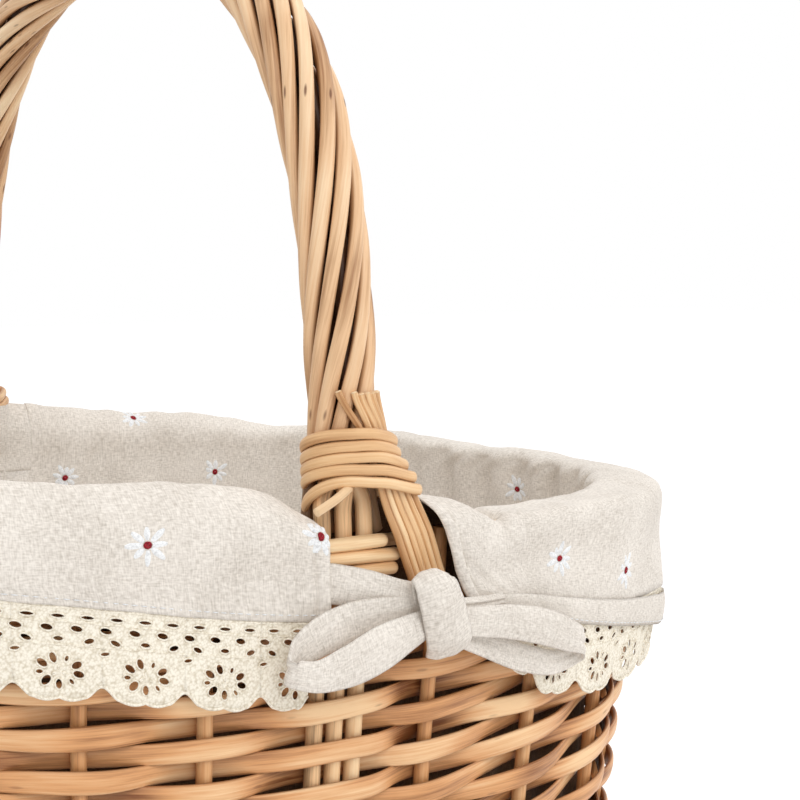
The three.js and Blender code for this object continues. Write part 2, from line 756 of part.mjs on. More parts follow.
function linerSheet() {
  const points = [new THREE.Vector3(0, 0, floorHeight)];
  const triangles = [];
  bagRings.forEach(({ height, out }) => {
    for (let column = 0; column < columnCount; column += 1) {
      points.push(wallPoint(columnArc(column, 0), height, out));
    }
  });
  const at = (ring, column) => 1 + ring * columnCount + (column % columnCount);
  for (let column = 0; column < columnCount; column += 1) {
    triangles.push([0, at(0, column), at(0, column + 1)]);
    for (let ring = 0; ring < bagRings.length - 1; ring += 1) {
      const [a, b] = [at(ring, column), at(ring, column + 1)];
      const [c, d] = [at(ring + 1, column + 1), at(ring + 1, column)];
      triangles.push([a, c, b], [a, d, c]);
    }
  }
  [[0, rightColumns], [rightColumns + 2, rightColumns + 2 + leftColumns]].forEach(([first, last]) => {
    let below = [];
    for (let column = first; column <= last; column += 1) below.push(at(bagRings.length - 1, column));
    flapRings.forEach((ringAt, i) => {
      const row = [];
      for (let column = first; column <= last; column += 1) {
        const arc = columnArc(column, i + 1);
        const { height, out } = ringAt(arc);
        row.push(points.length);
        points.push(wallPoint(arc, height, out));
      }
      for (let k = 0; k < row.length - 1; k += 1) {
        triangles.push([below[k], row[k + 1], below[k + 1]], [below[k], row[k], row[k + 1]]);
      }
      below = row;
    });
  });
  return thicken(points, triangles.map(([a, b, c]) => [a, c, b]), linerThickness);
}

addPiece('liner', linerSheet(), linen);

// A strip that follows the wall, with its lower and upper edge given along it
function stripAlong(arcs, lowAt, highAt, outAt, thickness) {
  return loft(arcs.map((arc) => {
    const out = outAt(arc);
    return [
      wallPoint(arc, lowAt(arc), out - thickness / 2),
      wallPoint(arc, lowAt(arc), out + thickness / 2),
      wallPoint(arc, highAt(arc), out + thickness / 2),
      wallPoint(arc, highAt(arc), out - thickness / 2),
    ];
  }));
}

// Hem band of the right flap, which runs on as the tie
const hemOut = flapOffset + 1.4 + linerThickness / 2 + fitGap + 0.5 + hemBandThickness / 2;
const bandEdge = rightFlapEdges[5] + 4;
const hemBand = stripAlong(
  spread(bandEdge, rimLength / 2 - bandEdge, Math.round(1.6 * rightColumns)),
  (arc) => rimHeight - bandLowDrop - bandLowFall * smooth(fromFoot(arc), 55, 190),
  (arc) => rimHeight - bandTopDrop - bandTopFall * smooth(fromFoot(arc), 40, 200),
  (arc) => hemOut + fold(arc),
  hemBandThickness,
);
addPiece('hem_band_right', hemBand, linen);

// Lace, sewn under each flap's hem, with a scalloped lower edge
function lace(from, to) {
  const scallops = Math.round((to - from) / scallopLength);
  const arcs = spread(from, to, 2 * scallops);
  return stripAlong(
    arcs,
    (arc) => {
      const turn = (arc - from) / ((to - from) / scallops);
      const crestOfScallop = Math.abs(turn - Math.floor(turn) - 0.5) < 0.25;
      return hemHeight(arc) - laceHeight + (crestOfScallop ? 0 : 4);
    },
    (arc) => hemHeight(arc) - laceGap,
    (arc) => flapOffset + 1.4 + fold(arc),
    laceThickness,
  );
}

addPiece('lace_right', lace(bandEdge, rimLength / 2 - bandEdge), cottonLace);
const laceEdge = leftFlapEdges[5] + 14;
addPiece('lace_left', lace(rimLength / 2 + laceEdge, rimLength - laceEdge), cottonLace);

// Tie: a bow of folded linen in front of each handle foot, joined to one solid
const wasm = await Module();
wasm.setup();

function solidOf(geometry) {
  const vertProperties = new Float32Array(geometry.attributes.position.array);
  const triVerts = new Uint32Array(geometry.index.array);
  return new wasm.Manifold(new wasm.Mesh({ numProp: 3, vertProperties, triVerts }));
}

function geometryOf(solid) {
  const mesh = solid.getMesh();
  const geometry = new THREE.BufferGeometry();
  geometry.setAttribute('position', new THREE.Float32BufferAttribute(mesh.vertProperties, 3));
  geometry.setIndex(Array.from(mesh.triVerts));
  geometry.computeVertexNormals();
  return geometry;
}

// A ribbon through points given as arc, height below the rim, distance out and half-height
function ribbon(stations, thickness) {
  return loft(stations.map(([arc, drop, out, half]) => {
    const corner = (up, side) => wallPoint(arc, rimHeight - drop + up * half, out + (side * thickness) / 2);
    return [corner(-1, -1), corner(-1, 1), corner(1, 1), corner(1, -1)];
  }));
}

const ribbonThickness = 2;
const tieOut = hemOut + hemBandThickness / 2 + fitGap + ribbonThickness / 2;
const strapOut = rodOffset + rimRodDiameter / 2 + 2 * fitGap + ribbonThickness / 2;
const knotArc = 26;
const knotDrop = 27;
const knotOut = tieOut + 3;
const bandStart = bandEdge - 0.4;
const bandMiddle = (bandTopDrop + bandLowDrop) / 2;
const ribbons = [
  // Strap from under the left flap
  [[-14, 14, strapOut, 6], [-6, 16, strapOut + 0.2, 6.4], [12, 20, tieOut - 1.4, 6], [knotArc, 22, tieOut + 1, 5]],
  // Left loop, its back and its front
  [[knotArc, 27, tieOut + 1, 5], [2, 28, tieOut, 5], [-14, 30, tieOut, 6.5], [-26, 34, tieOut, 5], [-31, 37, tieOut + 1.5, 3.5]],
  [[knotArc, 31, tieOut + 3, 5], [4, 36, tieOut + 4, 7], [-10, 40.5, tieOut + 4, 7], [-24, 40, tieOut + 3.4, 5.5], [-31, 37, tieOut + 1.5, 3.5]],
  // Right loop, its back and its front
  [[knotArc, 31, tieOut + 1.4, 5], [57, 38, tieOut + 0.6, 4.5], [80, 47, tieOut + 0.6, 4.5], [97, 50.5, tieOut + 1.5, 3]],
  [[knotArc, 31, tieOut + 3, 5], [57, 36, tieOut + 4, 5.5], [72, 40.5, tieOut + 4, 6], [87, 46, tieOut + 3.4, 5], [97, 50.5, tieOut + 1.5, 3]],
  // Tie that runs on to the hem band, and the knot's cut end
  [[knotArc, 25, tieOut + 1, 3.2], [44, 27.4, tieOut - 0.6, 2.6], [bandStart, bandMiddle, hemOut + fold(bandEdge), 2.3]],
  [[knotArc + 3, 32, knotOut, 6], [knotArc + 13, 41, knotOut, 3.5]],
];

// The knot leans: its top is nearer to the foot than its lower end
function tieBow() {
  const centre = wallPoint(knotArc, rimHeight - knotDrop, knotOut);
  const out = wallNormal(knotArc);
  const across = new THREE.Vector3(0, 0, 1).cross(out);
  const lean = new THREE.Vector3(0, 0, 15).addScaledVector(across, -4.5);
  const knotRings = [-1, -0.75, -0.25, 0.25, 0.75, 1].map((share) => {
    const width = Math.sqrt(1.04 - share * share);
    const middle = centre.clone().addScaledVector(lean, share);
    return Array.from({ length: 8 }, (_, j) => {
      const angle = (2 * Math.PI * j) / 8;
      return middle.clone()
        .addScaledVector(across, 9.5 * width * Math.cos(angle))
        .addScaledVector(out, 4.4 * width * Math.sin(angle));
    });
  });
  const parts = [loft(knotRings), ...ribbons.map((stations) => ribbon(stations, ribbonThickness))];
  return geometryOf(wasm.Manifold.union(parts.map(solidOf)));
}

const nearBow = tieBow();
addPiece('tie_bow_near', nearBow, linen);
addPiece('tie_bow_far', mirrored(nearBow), linen);

export default basket;
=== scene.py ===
"""The looks of an oval willow basket with a roped bow handle and a tied linen liner.

Sizes are in millimetres until a mesh is made, then in metres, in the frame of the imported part.
"""

import math

import bpy
import numpy as np
from mathutils import Matrix, Vector
from mathutils.bvhtree import BVHTree
from mathutils.geometry import delaunay_2d_cdt


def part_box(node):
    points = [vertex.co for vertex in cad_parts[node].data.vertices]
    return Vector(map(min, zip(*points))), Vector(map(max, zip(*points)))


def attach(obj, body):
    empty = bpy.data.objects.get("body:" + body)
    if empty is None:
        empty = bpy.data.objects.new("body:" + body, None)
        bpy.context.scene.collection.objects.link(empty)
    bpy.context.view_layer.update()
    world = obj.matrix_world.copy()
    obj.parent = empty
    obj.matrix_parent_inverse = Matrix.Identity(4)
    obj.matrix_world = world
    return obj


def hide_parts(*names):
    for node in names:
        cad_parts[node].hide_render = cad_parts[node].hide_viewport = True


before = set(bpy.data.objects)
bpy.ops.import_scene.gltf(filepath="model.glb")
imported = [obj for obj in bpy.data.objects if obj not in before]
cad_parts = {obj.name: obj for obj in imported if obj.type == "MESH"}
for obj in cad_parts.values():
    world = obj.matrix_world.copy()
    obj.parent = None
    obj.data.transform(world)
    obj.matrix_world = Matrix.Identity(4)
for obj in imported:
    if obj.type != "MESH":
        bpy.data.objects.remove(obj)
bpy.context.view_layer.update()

# The oval wall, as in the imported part
RIM_HALF_LENGTH = 208
RIM_HALF_WIDTH = 152
OVAL_POWER = 2.7
RIM_HEIGHT = 190
WALL_TAPER = 0.1

STAKE_COUNT = 22
STAKE_DIAMETER = 5.4
STAKE_BUNCHING = 14
STAKE_LEAN = 5.5

WEAVER_ROWS = 21
WEAVER_PITCH = 7.46
EVEN_ROWS = 15
WEAVER_OFFSET = 4.2
END_RISE = 20

RIM_ROD_DIAMETER = 4.6
RIM_ROD_GAP = 0.3
FOOT_ROD_DIAMETER = 5
FOOT_ROD_GAP = 0.4
BOW_DIAMETER = 6
BOW_SPACING = 8.5

HANDLE_HALF_SPAN = 150.5
HANDLE_RISER = 43
HANDLE_ARCH = 173
HANDLE_POWER = 2.45
ROPE_COUNT = 9
ROPE_DIAMETER = 5.2
ROPE_LAY = 237
WRAP_TURNS = 5
WRAP_PITCH = 4
WRAP_BASE = RIM_HEIGHT + 17
WRAP_TOP = WRAP_BASE + (WRAP_TURNS - 1) * WRAP_PITCH
WRAP_TILT = 0.33
WRAP_TAIL_DROP = 6
WRAP_DEPTH = 1.4
WRAP_HALF_HEIGHT = 1.95
BUNDLE_RODS = 6

LINER_INSET = 10.5
FLAP_OFFSET = 9.3
FLAP_HANG = FLAP_OFFSET + 1.4
SCALLOP = 28
FLOOR_HEIGHT = 10.5
LINER_THICKNESS = 1.3
NOTCH_REACH = 15.9
LACE_DEPTH = 30
LACE_THICKNESS = 0.5

RIM_BAND = 3 * (RIM_ROD_DIAMETER + RIM_ROD_GAP)
FOOT_ROD_HEIGHT = FOOT_ROD_DIAMETER * math.cos(math.pi / 6)
WEAVE_BOTTOM = 3 * (FOOT_ROD_HEIGHT + FOOT_ROD_GAP)
WEAVE_TOP = RIM_HEIGHT - RIM_BAND
LOOSE_PITCH = (WEAVE_TOP - WEAVE_BOTTOM - EVEN_ROWS * WEAVER_PITCH) / (WEAVER_ROWS - EVEN_ROWS)
ROD_OFFSET = 5.6
FOOT_OFFSET = 5.8
BUNDLE_RADIUS = 6.3 / math.sqrt(3)
ROPE_RADIUS = BUNDLE_RADIUS + 3 + 0.5 + ROPE_DIAMETER / 2
HANDLE_RADIUS = ROPE_RADIUS + ROPE_DIAMETER / 2

UP = np.array([0.0, 0.0, 1.0])


# Curves

def smooth(value, start, end):
    share = np.clip((value - start) / (end - start), 0, 1)
    return share * share * (3 - 2 * share)


def swell(value, start, full, fade, end):
    """Rises to one between start and full, and falls back to nothing between fade and end."""
    return smooth(value, start, full) * (1 - smooth(value, fade, end))


def hill(value, width):
    return np.exp(-((value / width) ** 2))


def mix(a, b, share):
    return a + (b - a) * share


def wobble(value, period, seed):
    """A smooth random wave between about -1 and 1."""
    dice = np.random.default_rng(seed)
    total = np.zeros_like(np.asarray(value, float))
    for rate, phase in zip(dice.uniform(0.5, 1.7, 5), dice.uniform(0, 2 * math.pi, 5)):
        total = total + np.sin(2 * math.pi * rate * np.asarray(value) / period + phase)
    return total / 2.6


def unit(vectors):
    return vectors / np.maximum(np.linalg.norm(vectors, axis=-1, keepdims=True), 1e-9)


def oval(theta, growth):
    power = 2 / OVAL_POWER
    c, s = np.cos(theta), np.sin(theta)
    x = (RIM_HALF_LENGTH + growth) * np.sign(c) * np.abs(c) ** power
    y = (RIM_HALF_WIDTH + growth) * np.sign(s) * np.abs(s) ** power
    return np.stack(np.broadcast_arrays(x, y), -1)


TABLE_ANGLES = np.linspace(-math.pi / 2, 1.5 * math.pi, 2881)
_rim = oval(TABLE_ANGLES, 0)
TABLE_ARCS = np.concatenate([[0], np.cumsum(np.linalg.norm(np.diff(_rim, axis=0), axis=1))])
RIM_LENGTH = float(TABLE_ARCS[-1])
HALF = RIM_LENGTH / 2


def angle_at(arc):
    return np.interp(np.mod(arc, RIM_LENGTH), TABLE_ARCS, TABLE_ANGLES)


def wall_normal(arc):
    theta = angle_at(arc)
    step = oval(theta + 0.01, 0) - oval(theta - 0.01, 0)
    return unit(np.stack([step[..., 1], -step[..., 0], 0 * step[..., 0]], -1))


def wall_point(arc, height, out):
    arc, height, out = np.broadcast_arrays(np.asarray(arc, float), height, out)
    flat = oval(angle_at(arc), -WALL_TAPER * (RIM_HEIGHT - np.minimum(height, RIM_HEIGHT)))
    base = np.concatenate([flat, height[..., None]], -1)
    return base + wall_normal(arc) * out[..., None]


def stake_arc(index):
    from_foot = abs(index - round(2 * index / STAKE_COUNT) * STAKE_COUNT // 2)
    even = index * RIM_LENGTH / STAKE_COUNT
    bunched = even - STAKE_BUNCHING * math.sin(4 * math.pi * index / STAKE_COUNT)
    return bunched - STAKE_LEAN if from_foot == 1 else bunched


def row_height(row, arc):
    count = row + 0.5
    even = np.minimum(count, EVEN_ROWS)
    level = even * WEAVER_PITCH + (count - even) * LOOSE_PITCH
    reach = oval(angle_at(arc), 0)[..., 0] / RIM_HALF_LENGTH
    rise = END_RISE * reach * reach * np.sin(math.pi * level / (WEAVE_TOP - WEAVE_BOTTOM))
    return WEAVE_BOTTOM + level + rise


def between(points, slopes, i, t, length):
    """The cubic curve from point i to the next one, at a share t of the way."""
    return (
        (2 * t**3 - 3 * t**2 + 1) * points[i]
        + (t**3 - 2 * t**2 + t) * length * slopes[i]
        + (3 * t**2 - 2 * t**3) * points[i + 1]
        + (t**3 - t**2) * length * slopes[i + 1]
    )


def softened(rows, count):
    """The moving average over an odd count of rows, with the first and last row carried on."""
    half = count // 2
    padded = np.concatenate([np.repeat(rows[:1], half, 0), rows, np.repeat(rows[-1:], half, 0)])
    return np.stack([np.convolve(column, np.ones(count) / count, "valid") for column in padded.T], -1)


def through(points, count):
    """A smooth curve through points, sampled evenly. It works in any number of columns."""
    points = np.asarray(points, float)
    gaps = np.linalg.norm(np.diff(points[:, :3], axis=0), axis=1)
    knots = np.concatenate([[0], np.cumsum(gaps)])
    slopes = np.gradient(points, knots, axis=0)
    places = np.linspace(0, knots[-1], count)
    i = np.clip(np.searchsorted(knots, places, side="right") - 1, 0, len(gaps) - 1)
    length = gaps[i][:, None]
    t = ((places - knots[i]) / gaps[i])[:, None]
    return between(points, slopes, i, t, length)


def handle_line():
    """The handle's middle line from rim to rim, with the distance along it."""
    angle = np.linspace(0, math.pi, 1441)
    c = np.cos(angle)
    y = -HANDLE_HALF_SPAN * np.sign(c) * np.abs(c) ** (2 / HANDLE_POWER)
    z = RIM_HEIGHT + HANDLE_RISER + HANDLE_ARCH * np.sin(angle) ** (2 / HANDLE_POWER)
    riser = np.linspace(0, 1, 30)[:-1]
    lean = mix(-RIM_HALF_WIDTH, -HANDLE_HALF_SPAN, smooth(riser, -0.3, 1))
    up = RIM_HEIGHT + HANDLE_RISER * riser
    y = np.concatenate([lean, y, -lean[::-1]])
    z = np.concatenate([up, z, up[::-1]])
    step = np.hypot(np.diff(y), np.diff(z))
    keep = np.concatenate([[True], step > 1e-6])
    return y[keep], z[keep]


HANDLE_Y, HANDLE_Z = handle_line()
HANDLE_S = np.concatenate([[0], np.cumsum(np.hypot(np.diff(HANDLE_Y), np.diff(HANDLE_Z)))])
HANDLE_LENGTH = float(HANDLE_S[-1])


def handle_point(distance, x, n):
    """A point at a distance along the handle: x is across, n is away from the middle of the basket."""
    distance, x, n = np.broadcast_arrays(np.asarray(distance, float), x, n)
    y = np.interp(distance, HANDLE_S, HANDLE_Y)
    z = np.interp(distance, HANDLE_S, HANDLE_Z)
    ahead, behind = np.clip(distance + 3, 0, HANDLE_LENGTH), np.clip(distance - 3, 0, HANDLE_LENGTH)
    dy = np.interp(ahead, HANDLE_S, HANDLE_Y) - np.interp(behind, HANDLE_S, HANDLE_Y)
    dz = np.interp(ahead, HANDLE_S, HANDLE_Z) - np.interp(behind, HANDLE_S, HANDLE_Z)
    size = np.hypot(dy, dz)
    return np.stack([x, y - n * dz / size, z + n * dy / size], -1)


# Meshes

def linked(name, data):
    """A new object in the scene."""
    thing = bpy.data.objects.new(name, data)
    bpy.context.scene.collection.objects.link(thing)
    return thing


class Shape:
    """Gathers points, faces, texture coordinates and a tint for one mesh."""

    def __init__(self, start=0.0):
        self.start = start
        self.points, self.faces, self.uvs = [], [], []
        self.tints, self.edges, self.seeds = [], [], []
        self.count = 0

    def add(self, points, faces, uvs, tint=0.5, edge=0.0):
        points = np.asarray(points, float).reshape(-1, 3)
        self.points.append(points)
        self.tints.append(np.broadcast_to(np.asarray(tint, float), len(points)).copy())
        self.edges.append(np.broadcast_to(np.asarray(edge, float), len(points)).copy())
        self.seeds.append(np.full(len(points), (len(self.points) * 0.618 + self.start) % 1))
        for face, uv in zip(faces, uvs):
            self.faces.append([int(i) + self.count for i in face])
            self.uvs.extend(uv)
        self.count += len(points)

    def grid(self, points, u, v=None, tint=0.5, edge=0.0, wrap=False, caps=False, flip=False):
        """Quads over points of shape (rows, columns, 3); u runs with the rows, v with the columns."""
        rows, columns = points.shape[:2]
        if v is None:
            v = np.arange(columns + 1) / columns
        u, v = np.asarray(u, float), np.asarray(v, float)
        faces, uvs = [], []
        last = columns if wrap else columns - 1
        for i in range(rows - 1):
            for j in range(last):
                k = (j + 1) % columns
                corners = [(i, j, j), (i, k, j + 1), (i + 1, k, j + 1), (i + 1, j, j)]
                if flip:
                    corners.reverse()
                faces.append([a * columns + b for a, b, _ in corners])
                uvs.append([(u[a], v[c]) for a, _, c in corners])
        if caps:
            middle = float(np.mean(v))
            start = list(range(columns))[:: 1 if flip else -1]
            end = list(range((rows - 1) * columns, rows * columns))[:: -1 if flip else 1]
            faces += [start, end]
            uvs += [[(u[0], middle)] * columns, [(u[-1], middle)] * columns]
        tint = np.broadcast_to(tint, points.shape[:2]).reshape(-1)
        edge = np.broadcast_to(edge, points.shape[:2]).reshape(-1)
        self.add(points.reshape(-1, 3), faces, uvs, tint, edge)

    def made(self, name, material, slot, *nodes, thickness=0.0):
        points = np.concatenate(self.points) * 0.001
        mesh = bpy.data.meshes.new(name)
        mesh.from_pydata(points.tolist(), [], self.faces)
        layer = mesh.uv_layers.new(name="UVMap")
        layer.data.foreach_set("uv", np.asarray(self.uvs, float).reshape(-1))
        # The edge values mark where the willow materials paint shade.
        for label, values in (("tint", self.tints), ("edge", self.edges), ("seed", self.seeds)):
            attribute = mesh.attributes.new(label, "FLOAT", "POINT")
            attribute.data.foreach_set("value", np.concatenate(values))
        mesh.polygons.foreach_set("use_smooth", [True] * len(mesh.polygons))
        mesh.materials.append(material)
        mesh.update()
        thing = linked(name, mesh)
        if thickness:
            solidify = thing.modifiers.new("thickness", "SOLIDIFY")
            solidify.thickness = thickness * 0.001
            solidify.offset = 0.0
        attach(thing, "root")
        if nodes:
            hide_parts(*nodes)
        return thing


def frames(path, start):
    """Unit directions along a path and two across it, carried without twist."""
    along = unit(np.gradient(path, axis=0))
    side = np.zeros_like(path)
    current = np.asarray(start, float)
    for i, direction in enumerate(along):
        current = current - direction * current.dot(direction)
        current = current / np.linalg.norm(current)
        side[i] = current
    return along, side, np.cross(along, side)


def length_along(path):
    return np.concatenate([[0], np.cumsum(np.linalg.norm(np.diff(path, axis=0), axis=1))])


def add_tube(shape, path, radius, sides=12, tint=0.5, start=(0, 0, 1), ends=("flat", "flat"), outward=None):
    """A round rod along a path. Round ends are drawn in over one radius, flat ones are cut off.

    Where outward directions are given, the flanks beside them and the side turned away from them are marked
    for painted shade, the shade between neighbouring rods.
    """
    path = np.asarray(path, float)
    radius = np.broadcast_to(np.asarray(radius, float), len(path)).copy()
    for place, kind in ((0, ends[0]), (-1, ends[1])):
        if kind == "flat":
            continue
        inner = path[1] if place == 0 else path[-2]
        tip, r = path[place], radius[place]
        direction = unit(tip - inner)
        extra = [tip - direction * r * 0.9 * (1 - s) for s in (0.0, 0.5, 0.8, 1.0)]
        sizes = [r, r * 0.88, r * 0.62, r * 0.12]
        if place == 0:
            path = np.concatenate([extra[::-1], path[1:]])
            radius = np.concatenate([sizes[::-1], radius[1:]])
        else:
            path = np.concatenate([path[:-1], extra])
            radius = np.concatenate([radius[:-1], sizes])
    along, side, up = frames(path, start)
    turn = 2 * math.pi * np.arange(sides) / sides
    edge = 0.0
    if outward is not None:
        side = unit(outward - along * (outward * along).sum(1, keepdims=True))
        up = np.cross(along, side)
        # Painted shade, strongest on the side turned away from outward.
        edge = np.broadcast_to(smooth(-np.cos(turn), -0.5, 0.35), (len(path), sides))
    ring = (
        side[:, None] * np.cos(turn)[None, :, None] + up[:, None] * np.sin(turn)[None, :, None]
    ) * radius[:, None, None]
    u = length_along(path) * 0.001
    shape.grid(path[:, None] + ring, u, tint=tint, edge=edge, wrap=True, caps=True)


def add_strand(shape, path, upright, half_height, half_depth, sides=14, tint=0.5):
    """A flattened rod whose tall side stays upright."""
    along = unit(np.gradient(path, axis=0))
    up = unit(upright - along * (along @ upright)[:, None])
    side = np.cross(up, along)
    turn = 2 * math.pi * np.arange(sides) / sides
    size = smooth(np.minimum(np.arange(len(path)), np.arange(len(path))[::-1]), -2, 3)[:, None, None]
    c = np.sign(np.cos(turn)) * np.abs(np.cos(turn)) ** 0.8
    tall = up[:, None] * (np.sin(turn) * half_height)[None, :, None]
    ring = tall + side[:, None] * (c * half_depth)[None, :, None]
    # Painted shade along the top and bottom of the flattened rod, where the turns of a binding lie against
    # each other.
    edge = np.broadcast_to(smooth(np.abs(np.sin(turn)), 0.55, 1.0) * 0.9, (len(path), sides))
    u = length_along(path) * 0.001
    points = path[:, None] + ring * size
    shape.grid(points, u, tint=tint, edge=edge, wrap=True, caps=True, flip=True)


def add_hoop(shape, height, out, radius, sides=12, tint=0.5, flat=None, seed=1):
    """A closed rod that follows the wall."""
    arcs = np.linspace(0, RIM_LENGTH, 301)
    drift = 0.12 * wobble(arcs, 90, seed) * (1 - smooth(np.abs(arcs - HALF), HALF - 40, HALF))
    centre = wall_point(arcs, height + drift, out)
    turn = -2 * math.pi * np.arange(sides) / sides
    level = wall_normal(arcs)[:, None] * np.sin(turn)[None, :, None]
    upright = UP * np.cos(turn)[None, :, None]
    points = centre[:, None] + radius * (level + upright)
    if flat is not None:
        points[..., 2] = np.maximum(points[..., 2], flat)
    u = np.abs(arcs - HALF) * 0.001
    shape.grid(points, u, tint=tint, wrap=True, flip=True)


# Materials

def rgb(red, green, blue):
    """Linear colour from the usual 0 to 255 numbers."""
    values = [channel / 255 for channel in (red, green, blue)]
    linear = [v / 12.92 if v <= 0.04045 else ((v + 0.055) / 1.055) ** 2.4 for v in values]
    return (*linear, 1.0)


class Shader:
    """A material whose nodes are added one call at a time."""

    def __init__(self, name):
        self.material = bpy.data.materials.new(name)
        self.material.use_nodes = True
        self.tree = self.material.node_tree
        self.surface = self.tree.nodes["Principled BSDF"]

    def node(self, kind, inputs=None, **settings):
        made = self.tree.nodes.new(kind)
        for key, value in settings.items():
            setattr(made, key, value)
        for key, value in (inputs or {}).items():
            self.put(made.inputs[key], value)
        return made

    def put(self, socket, value):
        if isinstance(value, bpy.types.NodeSocket):
            self.tree.links.new(value, socket)
        else:
            socket.default_value = value

    def maths(self, operation, a, b=0.0):
        return self.node("ShaderNodeMath", {0: a, 1: b}, operation=operation).outputs[0]

    def weighted(self, *parts):
        """The sum of values, each times its weight."""
        total, *others = [self.maths("MULTIPLY", value, weight) for value, weight in parts]
        for other in others:
            total = self.maths("ADD", total, other)
        return total

    def vector(self, x, y, z):
        return self.node("ShaderNodeCombineXYZ", {0: x, 1: y, 2: z}).outputs[0]

    def noise(self, place, scale=1.0, detail=2.0, roughness=0.5):
        inputs = {"Vector": place, "Scale": scale, "Detail": detail, "Roughness": roughness}
        return self.node("ShaderNodeTexNoise", inputs).outputs["Fac"]

    def range(self, value, low, high, to_low=0.0, to_high=1.0):
        inputs = {"Value": value, "From Min": low, "From Max": high, "To Min": to_low, "To Max": to_high}
        return self.node("ShaderNodeMapRange", inputs).outputs["Result"]

    def ramp(self, value, stops):
        made = self.node("ShaderNodeValToRGB", {"Fac": value})
        items = made.color_ramp.elements
        while len(items) < len(stops):
            items.new(0.5)
        for item, (place, colour) in zip(items, stops):
            item.position = place
            item.color = colour
        return made.outputs["Color"]

    def blend(self, share, a, b):
        made = self.node("ShaderNodeMix", {"Factor": share, "A": a, "B": b}, data_type="RGBA")
        return made.outputs["Result"]

    def finish(self, colour, roughness, specular, height, distance, strength):
        """Gives the surface its colour, gloss and relief."""
        inputs = {"Height": height, "Strength": strength, "Distance": distance}
        relief = self.node("ShaderNodeBump", inputs).outputs["Normal"]
        keys = ("Base Color", "Roughness", "Specular IOR Level", "Normal")
        for key, value in zip(keys, (colour, roughness, specular, relief)):
            self.put(self.surface.inputs[key], value)
        return self.material

    def attribute(self, name):
        return self.node("ShaderNodeAttribute", attribute_name=name).outputs["Fac"]

    def uv(self):
        place = self.node("ShaderNodeUVMap", uv_map="UVMap").outputs[0]
        split = self.node("ShaderNodeSeparateXYZ", {0: place})
        return split.outputs[0], split.outputs[1]


def willow_material(name, dark, middle, light, knots=0.0, edges=0.6, roughness=0.45):
    """Varnished willow: long fibres, slow changes of colour along the rod, painted shade where the mesh marks
    edges, and small knots.
    """
    s = Shader(name)
    along, around = s.uv()
    tint, seed = s.attribute("tint"), s.attribute("seed")
    turn = s.maths("MULTIPLY", around, 2 * math.pi)
    cosine, sine = s.maths("COSINE", turn), s.maths("SINE", turn)

    def place(rate, radius, shift):
        lift = s.maths("ADD", s.maths("MULTIPLY", seed, 97.0), shift)
        x = s.maths("ADD", s.maths("MULTIPLY", along, rate), lift)
        return s.vector(x, s.maths("MULTIPLY", cosine, radius), s.maths("MULTIPLY", sine, radius))

    fibre = s.noise(place(55, 4.2, 0.0), detail=3, roughness=0.6)
    streak = s.noise(place(16, 1.6, 7.0), detail=2)
    mottle = s.noise(place(30, 0.5, 3.0), detail=1)
    shade = s.maths("SUBTRACT", tint, 0.5)
    value = s.weighted((fibre, 0.26), (streak, 0.34), (mottle, 0.4), (shade, 0.34))
    colour = s.ramp(value, [(0.27, dark), (0.49, middle), (0.7, light)])
    # Painted shade: the edge mark blends the colour towards the dark tone, up to the share given by edges.
    painted_edge_shade = s.range(s.attribute("edge"), 0.35, 1.0, 0.0, edges)
    colour = s.blend(painted_edge_shade, colour, dark)
    if knots:
        cell = s.node("ShaderNodeTexVoronoi", {"Vector": place(46, 0.5, 11.0), "Scale": 1.0})
        spot = s.range(cell.outputs["Distance"], 0.06, 0.13, knots, 0.0)
        colour = s.blend(spot, colour, rgb(104, 58, 30))
    height = s.maths("ADD", fibre, s.maths("MULTIPLY", streak, 0.5))
    return s.finish(colour, roughness, 0.45, height, 0.00035, 0.55)


LINEN_THREADS = 1800.0
SLUB_SHADE = 0.05


def linen_material(name, dark, light):
    """Slubby plain weave: short dashes of thread in two directions, with thicker threads here and there."""
    s = Shader(name)
    u, v = s.uv()

    def threads(fast, slow, rate, other, shift):
        place = s.vector(s.maths("MULTIPLY", fast, rate), s.maths("MULTIPLY", slow, other), shift)
        return s.noise(place, detail=1)

    warp = threads(u, v, LINEN_THREADS, LINEN_THREADS / 4, 0.0)
    weft = threads(v, u, LINEN_THREADS, LINEN_THREADS / 4, 5.0)
    warp_slub = s.range(threads(u, v, LINEN_THREADS / 1.2, LINEN_THREADS / 18, 9.0), 0.6, 0.74)
    weft_slub = s.range(threads(v, u, LINEN_THREADS / 1.2, LINEN_THREADS / 18, 13.0), 0.6, 0.74)
    place = s.vector(s.maths("MULTIPLY", u, 45.0), s.maths("MULTIPLY", v, 45.0), 2.0)
    cloud = s.noise(place, detail=3)
    value = s.weighted((warp, 0.38), (weft, 0.38), (cloud, 0.24))
    slubs = s.maths("MULTIPLY", s.maths("ADD", warp_slub, weft_slub), SLUB_SHADE)
    value = s.maths("SUBTRACT", value, slubs)
    s.surface.inputs["Sheen Weight"].default_value = 0.08
    return s.finish(s.ramp(value, [(0.31, dark), (0.62, light)]), 0.92, 0.12, value, 0.0004, 0.45)


def thread_material(name, dark, light, rate=1150.0):
    """Cotton thread work: a dense, slightly bumpy surface."""
    s = Shader(name)
    place = s.node("ShaderNodeTexCoord").outputs["Object"]
    cell = s.node("ShaderNodeTexVoronoi", {"Vector": place, "Scale": rate})
    grain = s.noise(place, scale=rate * 0.7, detail=2)
    value = s.weighted((cell.outputs["Distance"], -0.45), (grain, 0.6))
    colour = s.ramp(s.maths("ADD", value, 0.45), [(0.3, dark), (0.62, light)])
    return s.finish(colour, 0.9, 0.2, value, 0.0004, 0.6)


